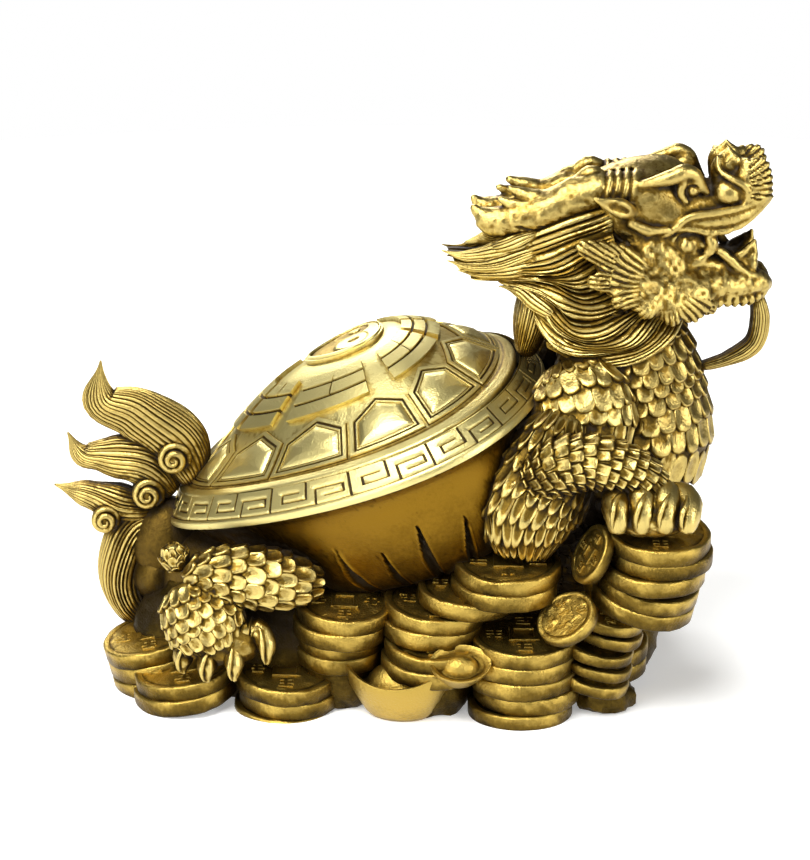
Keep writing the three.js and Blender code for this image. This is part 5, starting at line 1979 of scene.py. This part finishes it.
        def shaped(x: Array, y: Array, up: Array) -> Array:
            """The round cup's points drawn out to a boat, tipped, turned and set in place."""
            prow = np.where(up > 0.9, rise * x * x, 0.0) * smoothstep(np.hypot(x, y), 0.5, 0.8)
            plan = np.stack([x * half, y * half * 0.72, (up + prow) * half * 0.85], -1)
            t, w = np.radians(tip), np.radians(yaw)
            x1, y1, z1 = plan[..., 0], plan[..., 1], plan[..., 2]
            y2, z2 = y1 * np.cos(t) - z1 * np.sin(t), y1 * np.sin(t) + z1 * np.cos(t)
            placed = np.stack([x1 * np.cos(w) - y2 * np.sin(w), x1 * np.sin(w) + y2 * np.cos(w), z2], -1)
            return placed + np.array(foot)

        tone = np.interp(r, [0, 0.5, 0.62, 0.7, 0.9, 1], [1, 0.9, 0.3, 0.4, 0.9, 1])
        tone = np.where(h < 0.7, 0.75, tone)
        ends = shaped(np.zeros(2), np.zeros(2), np.array([0.0, 1.2]))
        return Skin.tube(shaped(r * np.cos(a), r * np.sin(a), h), tone, ends[0], ends[1])

    def mound(self) -> Skin:
        """The heap's core: a ball squared in plan, roughened like broken rock.

        Returns:
            The closed surface.
        """
        ball, phi = ball_grid(70, 170)
        x, y, up = ball[..., 0], ball[..., 1], ball[..., 2]
        square = 1 - 0.1 * np.abs(np.sin(2 * phi))
        grid = np.stack([-9 + x / square * 66, y / square * 28, 10.5 + 29 * np.sign(up) * np.abs(up) ** 0.75],
                        -1)
        noise = 1.5 * grain(grid, 7.0, 8) + 1.0 * grain(grid, 2.6, 9)
        grid = grid + unit(grid - np.array([-9, 0, 10.0])) * noise[..., None]
        grid[..., 2] = np.maximum(grid[..., 2], 0.0)
        tone = np.clip(0.02 + 0.12 * noise, 0, 1)
        return Skin.tube(grid, tone, np.array([-9, 0, 41.0]), np.array([-9, 0, 0.0]))

    def skin(self) -> Skin:
        """Everything of the heap.

        Returns:
            The surface, flat underneath.
        """
        parts = [self.mound(), lump((53, 0, 14), (13, 32, 22), 24, 40, 0.8, 6)]
        parts += [lump((60, side * 26, 38), (11, 9, 15), 24, 40, 0.8, 7) for side in (NEAR, FAR)]
        for i, stack in enumerate(self.stacks):
            parts += self.pile(stack, 10 * i)
            under = stack.top - stack.count * self.thickness
            if 2.0 < under < 22.0:
                reach = 0.42 * self.diameter * stack.size
                rock = lump((stack.x - 1.0, 0.9 * stack.y, 0.5 * under), (reach, reach, 0.62 * under + 2), 16,
                            26, 1.1, i)
                rock.tone *= 0.25
                parts.append(rock)
        parts += self.coin(np.array([43.8, -43.5, 31.0]), -28, 25, 0.6, True, 301)
        parts += self.coin(np.array([50.8, -38, 47.5]), -62, 16, 0.6, True, 302)
        parts += self.coin(np.array([46, 42, 30.0]), -28, -25, 0.62, True, 303)
        parts += [self.ingot((14.6, -41.2, 12.8), 6, 34, 0.88, 0.06),
                  self.ingot((-1.5, -35.5, 0), -16, 6, 1.55),
                  self.ingot((4, 37.5, 0), 20, 0, 1.3)]
        joined = Skin.join(parts)
        joined.points[:, 2] = np.maximum(joined.points[:, 2], 0.0)
        return joined

    def pieces(self) -> list[Piece]:
        """The heap, dressed."""
        return [Piece("heap", self.skin(), OLIVE, 0.6)]


# Light that reaches each point

def openness(skins: Sequence[Skin], directions: int = 40, cell: float = 1.3,
             bias: float = 1.0) -> list[Array]:
    """How much of the open sky over its own surface each point sees, 0 to 1.

    From each of many directions every point and face middle is entered in a grid of cells, which keeps the
    foremost depth. A point is lit from there if it lies no more than `bias` mm behind.

    Args:
        skins: The surfaces.
        directions: How many directions are looked from.
        cell: Width of a cell in mm.
        bias: Depth in mm that still counts as lit.

    Returns:
        One array of shares for each surface.
    """
    points = np.vstack([s.points for s in skins])
    normals = np.vstack([s.normals() for s in skins])
    middles = np.vstack([s.points[s.quads].mean(axis=1) for s in skins])
    every = np.vstack([points, middles])
    k = np.arange(directions) + 0.5
    high = 1 - 1.5 * k / directions  # from straight up to half below the horizon
    around = np.pi * (1 + 5**0.5) * k  # turns of the golden angle, which spread evenly
    flat = np.sqrt(np.maximum(0, 1 - high**2))
    sky = np.stack([flat * np.cos(around), flat * np.sin(around), high], -1)
    seen, most = np.zeros(len(points)), np.full(len(points), 1e-6)
    for look in sky:
        side = unit(np.cross(look, [0.3, 0.9, 0.2]))
        rise = np.cross(look, side)
        place = np.stack([every @ side, every @ rise], -1)
        index = np.floor((place - place.min(axis=0)) / cell).astype(np.int64)
        key = index[:, 0] * (index[:, 1].max() + 1) + index[:, 1]
        depth = every @ look
        front = np.full(key.max() + 1, -1e9)
        order = np.argsort(depth)
        front[key[order]] = depth[order]
        weight = np.maximum(0, normals @ look)
        lit = depth[: len(points)] > front[key[: len(points)]] - bias
        seen += weight * lit
        most += weight
    share = seen / most
    ends = np.cumsum([0] + [len(s.points) for s in skins])
    return [share[a:b] for a, b in zip(ends[:-1], ends[1:])]


# Studio

@dataclass(frozen=True)
class Studio:
    """Pale floor, soft lights and the camera at the photo's angle.

    Attributes:
        target: What the camera looks at, in mm.
        distance: Camera distance in mm.
        elevation: Camera height over the horizon in degrees.
        lens: Focal length in mm.
    """

    target: Point = (0.0, 0.0, 70.0)
    distance: float = 1000.0
    elevation: float = 19.0
    lens: float = 150.7

    def camera(self) -> None:
        """The scene's camera."""
        data = bpy.data.cameras.new("camera")
        data.lens = self.lens
        data.clip_start, data.clip_end = 0.05, 20.0
        camera = bpy.data.objects.new("camera", data)
        e = np.radians(self.elevation)
        offset = np.array([0.0, -np.cos(e), np.sin(e)]) * self.distance
        camera.location = (np.array(self.target) + offset) * UNIT
        camera.rotation_euler = (np.pi / 2 - e, 0.0, 0.0)
        bpy.context.scene.collection.objects.link(camera)
        bpy.context.scene.camera = camera

    def light(self, name: str, place: Point, size: tuple[float, float], watts: float) -> None:
        """A soft rectangle of light that faces the figure, its place and size in mm.

        Args:
            name: Its name.
            place: Where it stands.
            size: Its width and height.
            watts: Its power.
        """
        data = bpy.data.lights.new(name, "AREA")
        data.shape, data.size, data.size_y = "RECTANGLE", size[0] * UNIT, size[1] * UNIT
        data.energy = watts
        lamp = bpy.data.objects.new(name, data)
        where = np.array(place, float)
        back = unit(where - np.array(self.target))
        side = unit(np.cross([0.0, 0.0, 1.0], back))
        lift = np.cross(back, side)
        turn = np.eye(4)
        turn[:3, :3] = np.stack([side, lift, back], -1)
        turn[:3, 3] = where * UNIT
        bpy.context.scene.collection.objects.link(lamp)
        lamp.matrix_world = Matrix(turn.tolist())

    def floor(self) -> None:
        """A plain pale floor: one round face."""
        mesh = bpy.data.meshes.new("floor")
        sides = 96
        angle = np.arange(sides) / sides * ROUND
        rim = 620.0 * UNIT * np.stack([np.cos(angle), np.sin(angle), 0 * angle], -1)
        mesh.from_pydata(rim.tolist(), [], [list(range(sides))])
        material = bpy.data.materials.new("pale_floor")
        material.use_nodes = True
        shader = material.node_tree.nodes["Principled BSDF"]
        shader.inputs["Base Color"].default_value = colour("#F4F4F2")
        shader.inputs["Roughness"].default_value = 0.9
        shader.inputs["Emission Color"].default_value = (1.0, 1.0, 1.0, 1.0)
        shader.inputs["Emission Strength"].default_value = 0.3
        mesh.materials.append(material)
        floor = bpy.data.objects.new("floor", mesh)
        bpy.context.scene.collection.objects.link(floor)

    def world(self) -> None:
        """A dim grey surround for the metal to mirror, and a pale one behind the figure."""
        world = bpy.data.worlds.new("studio")
        bpy.context.scene.world = world
        bpy.context.scene.view_settings.view_transform = "Standard"
        world.use_nodes = True
        tree = world.node_tree
        tree.nodes.clear()
        path = add_node(tree, "ShaderNodeLightPath")
        dim = add_node(tree, "ShaderNodeBackground", {"Color": colour("#B4B4B4"), "Strength": 0.22})
        pale = add_node(tree, "ShaderNodeBackground", {"Color": colour("#FFFFFF"), "Strength": 1.0})
        mixed = add_node(tree, "ShaderNodeMixShader", {
            0: path.outputs["Is Camera Ray"], 1: dim.outputs[0], 2: pale.outputs[0]})
        add_node(tree, "ShaderNodeOutputWorld", {"Surface": mixed.outputs[0]})

    def build(self) -> None:
        """Camera, floor, world and lights."""
        self.camera()
        self.floor()
        self.world()
        self.light("key", (-260, -420, 760), (620, 460), 10.0)
        self.light("front", (-620, -760, 240), (260, 520), 4.0)
        self.light("fill", (680, -480, 300), (160, 520), 4.0)
        self.light("rim", (-200, 620, 520), (500, 260), 5.0)


def main() -> None:
    """Builds the studio and the figure, and reports each piece."""
    logging.basicConfig(level=logging.INFO, format="%(name)s %(message)s")
    Studio().build()
    pieces = [*Shell().pieces(), *Body().pieces(), *Head().pieces(), *Mane().pieces(), *Tail().pieces(),
              *Heap().pieces()]
    for piece, bare in zip(pieces, openness([piece.skin for piece in pieces])):
        piece.show(bare)
    log.info("total: %d triangles", sum(piece.skin.triangles() for piece in pieces))


if __name__ == "__main__":
    main()
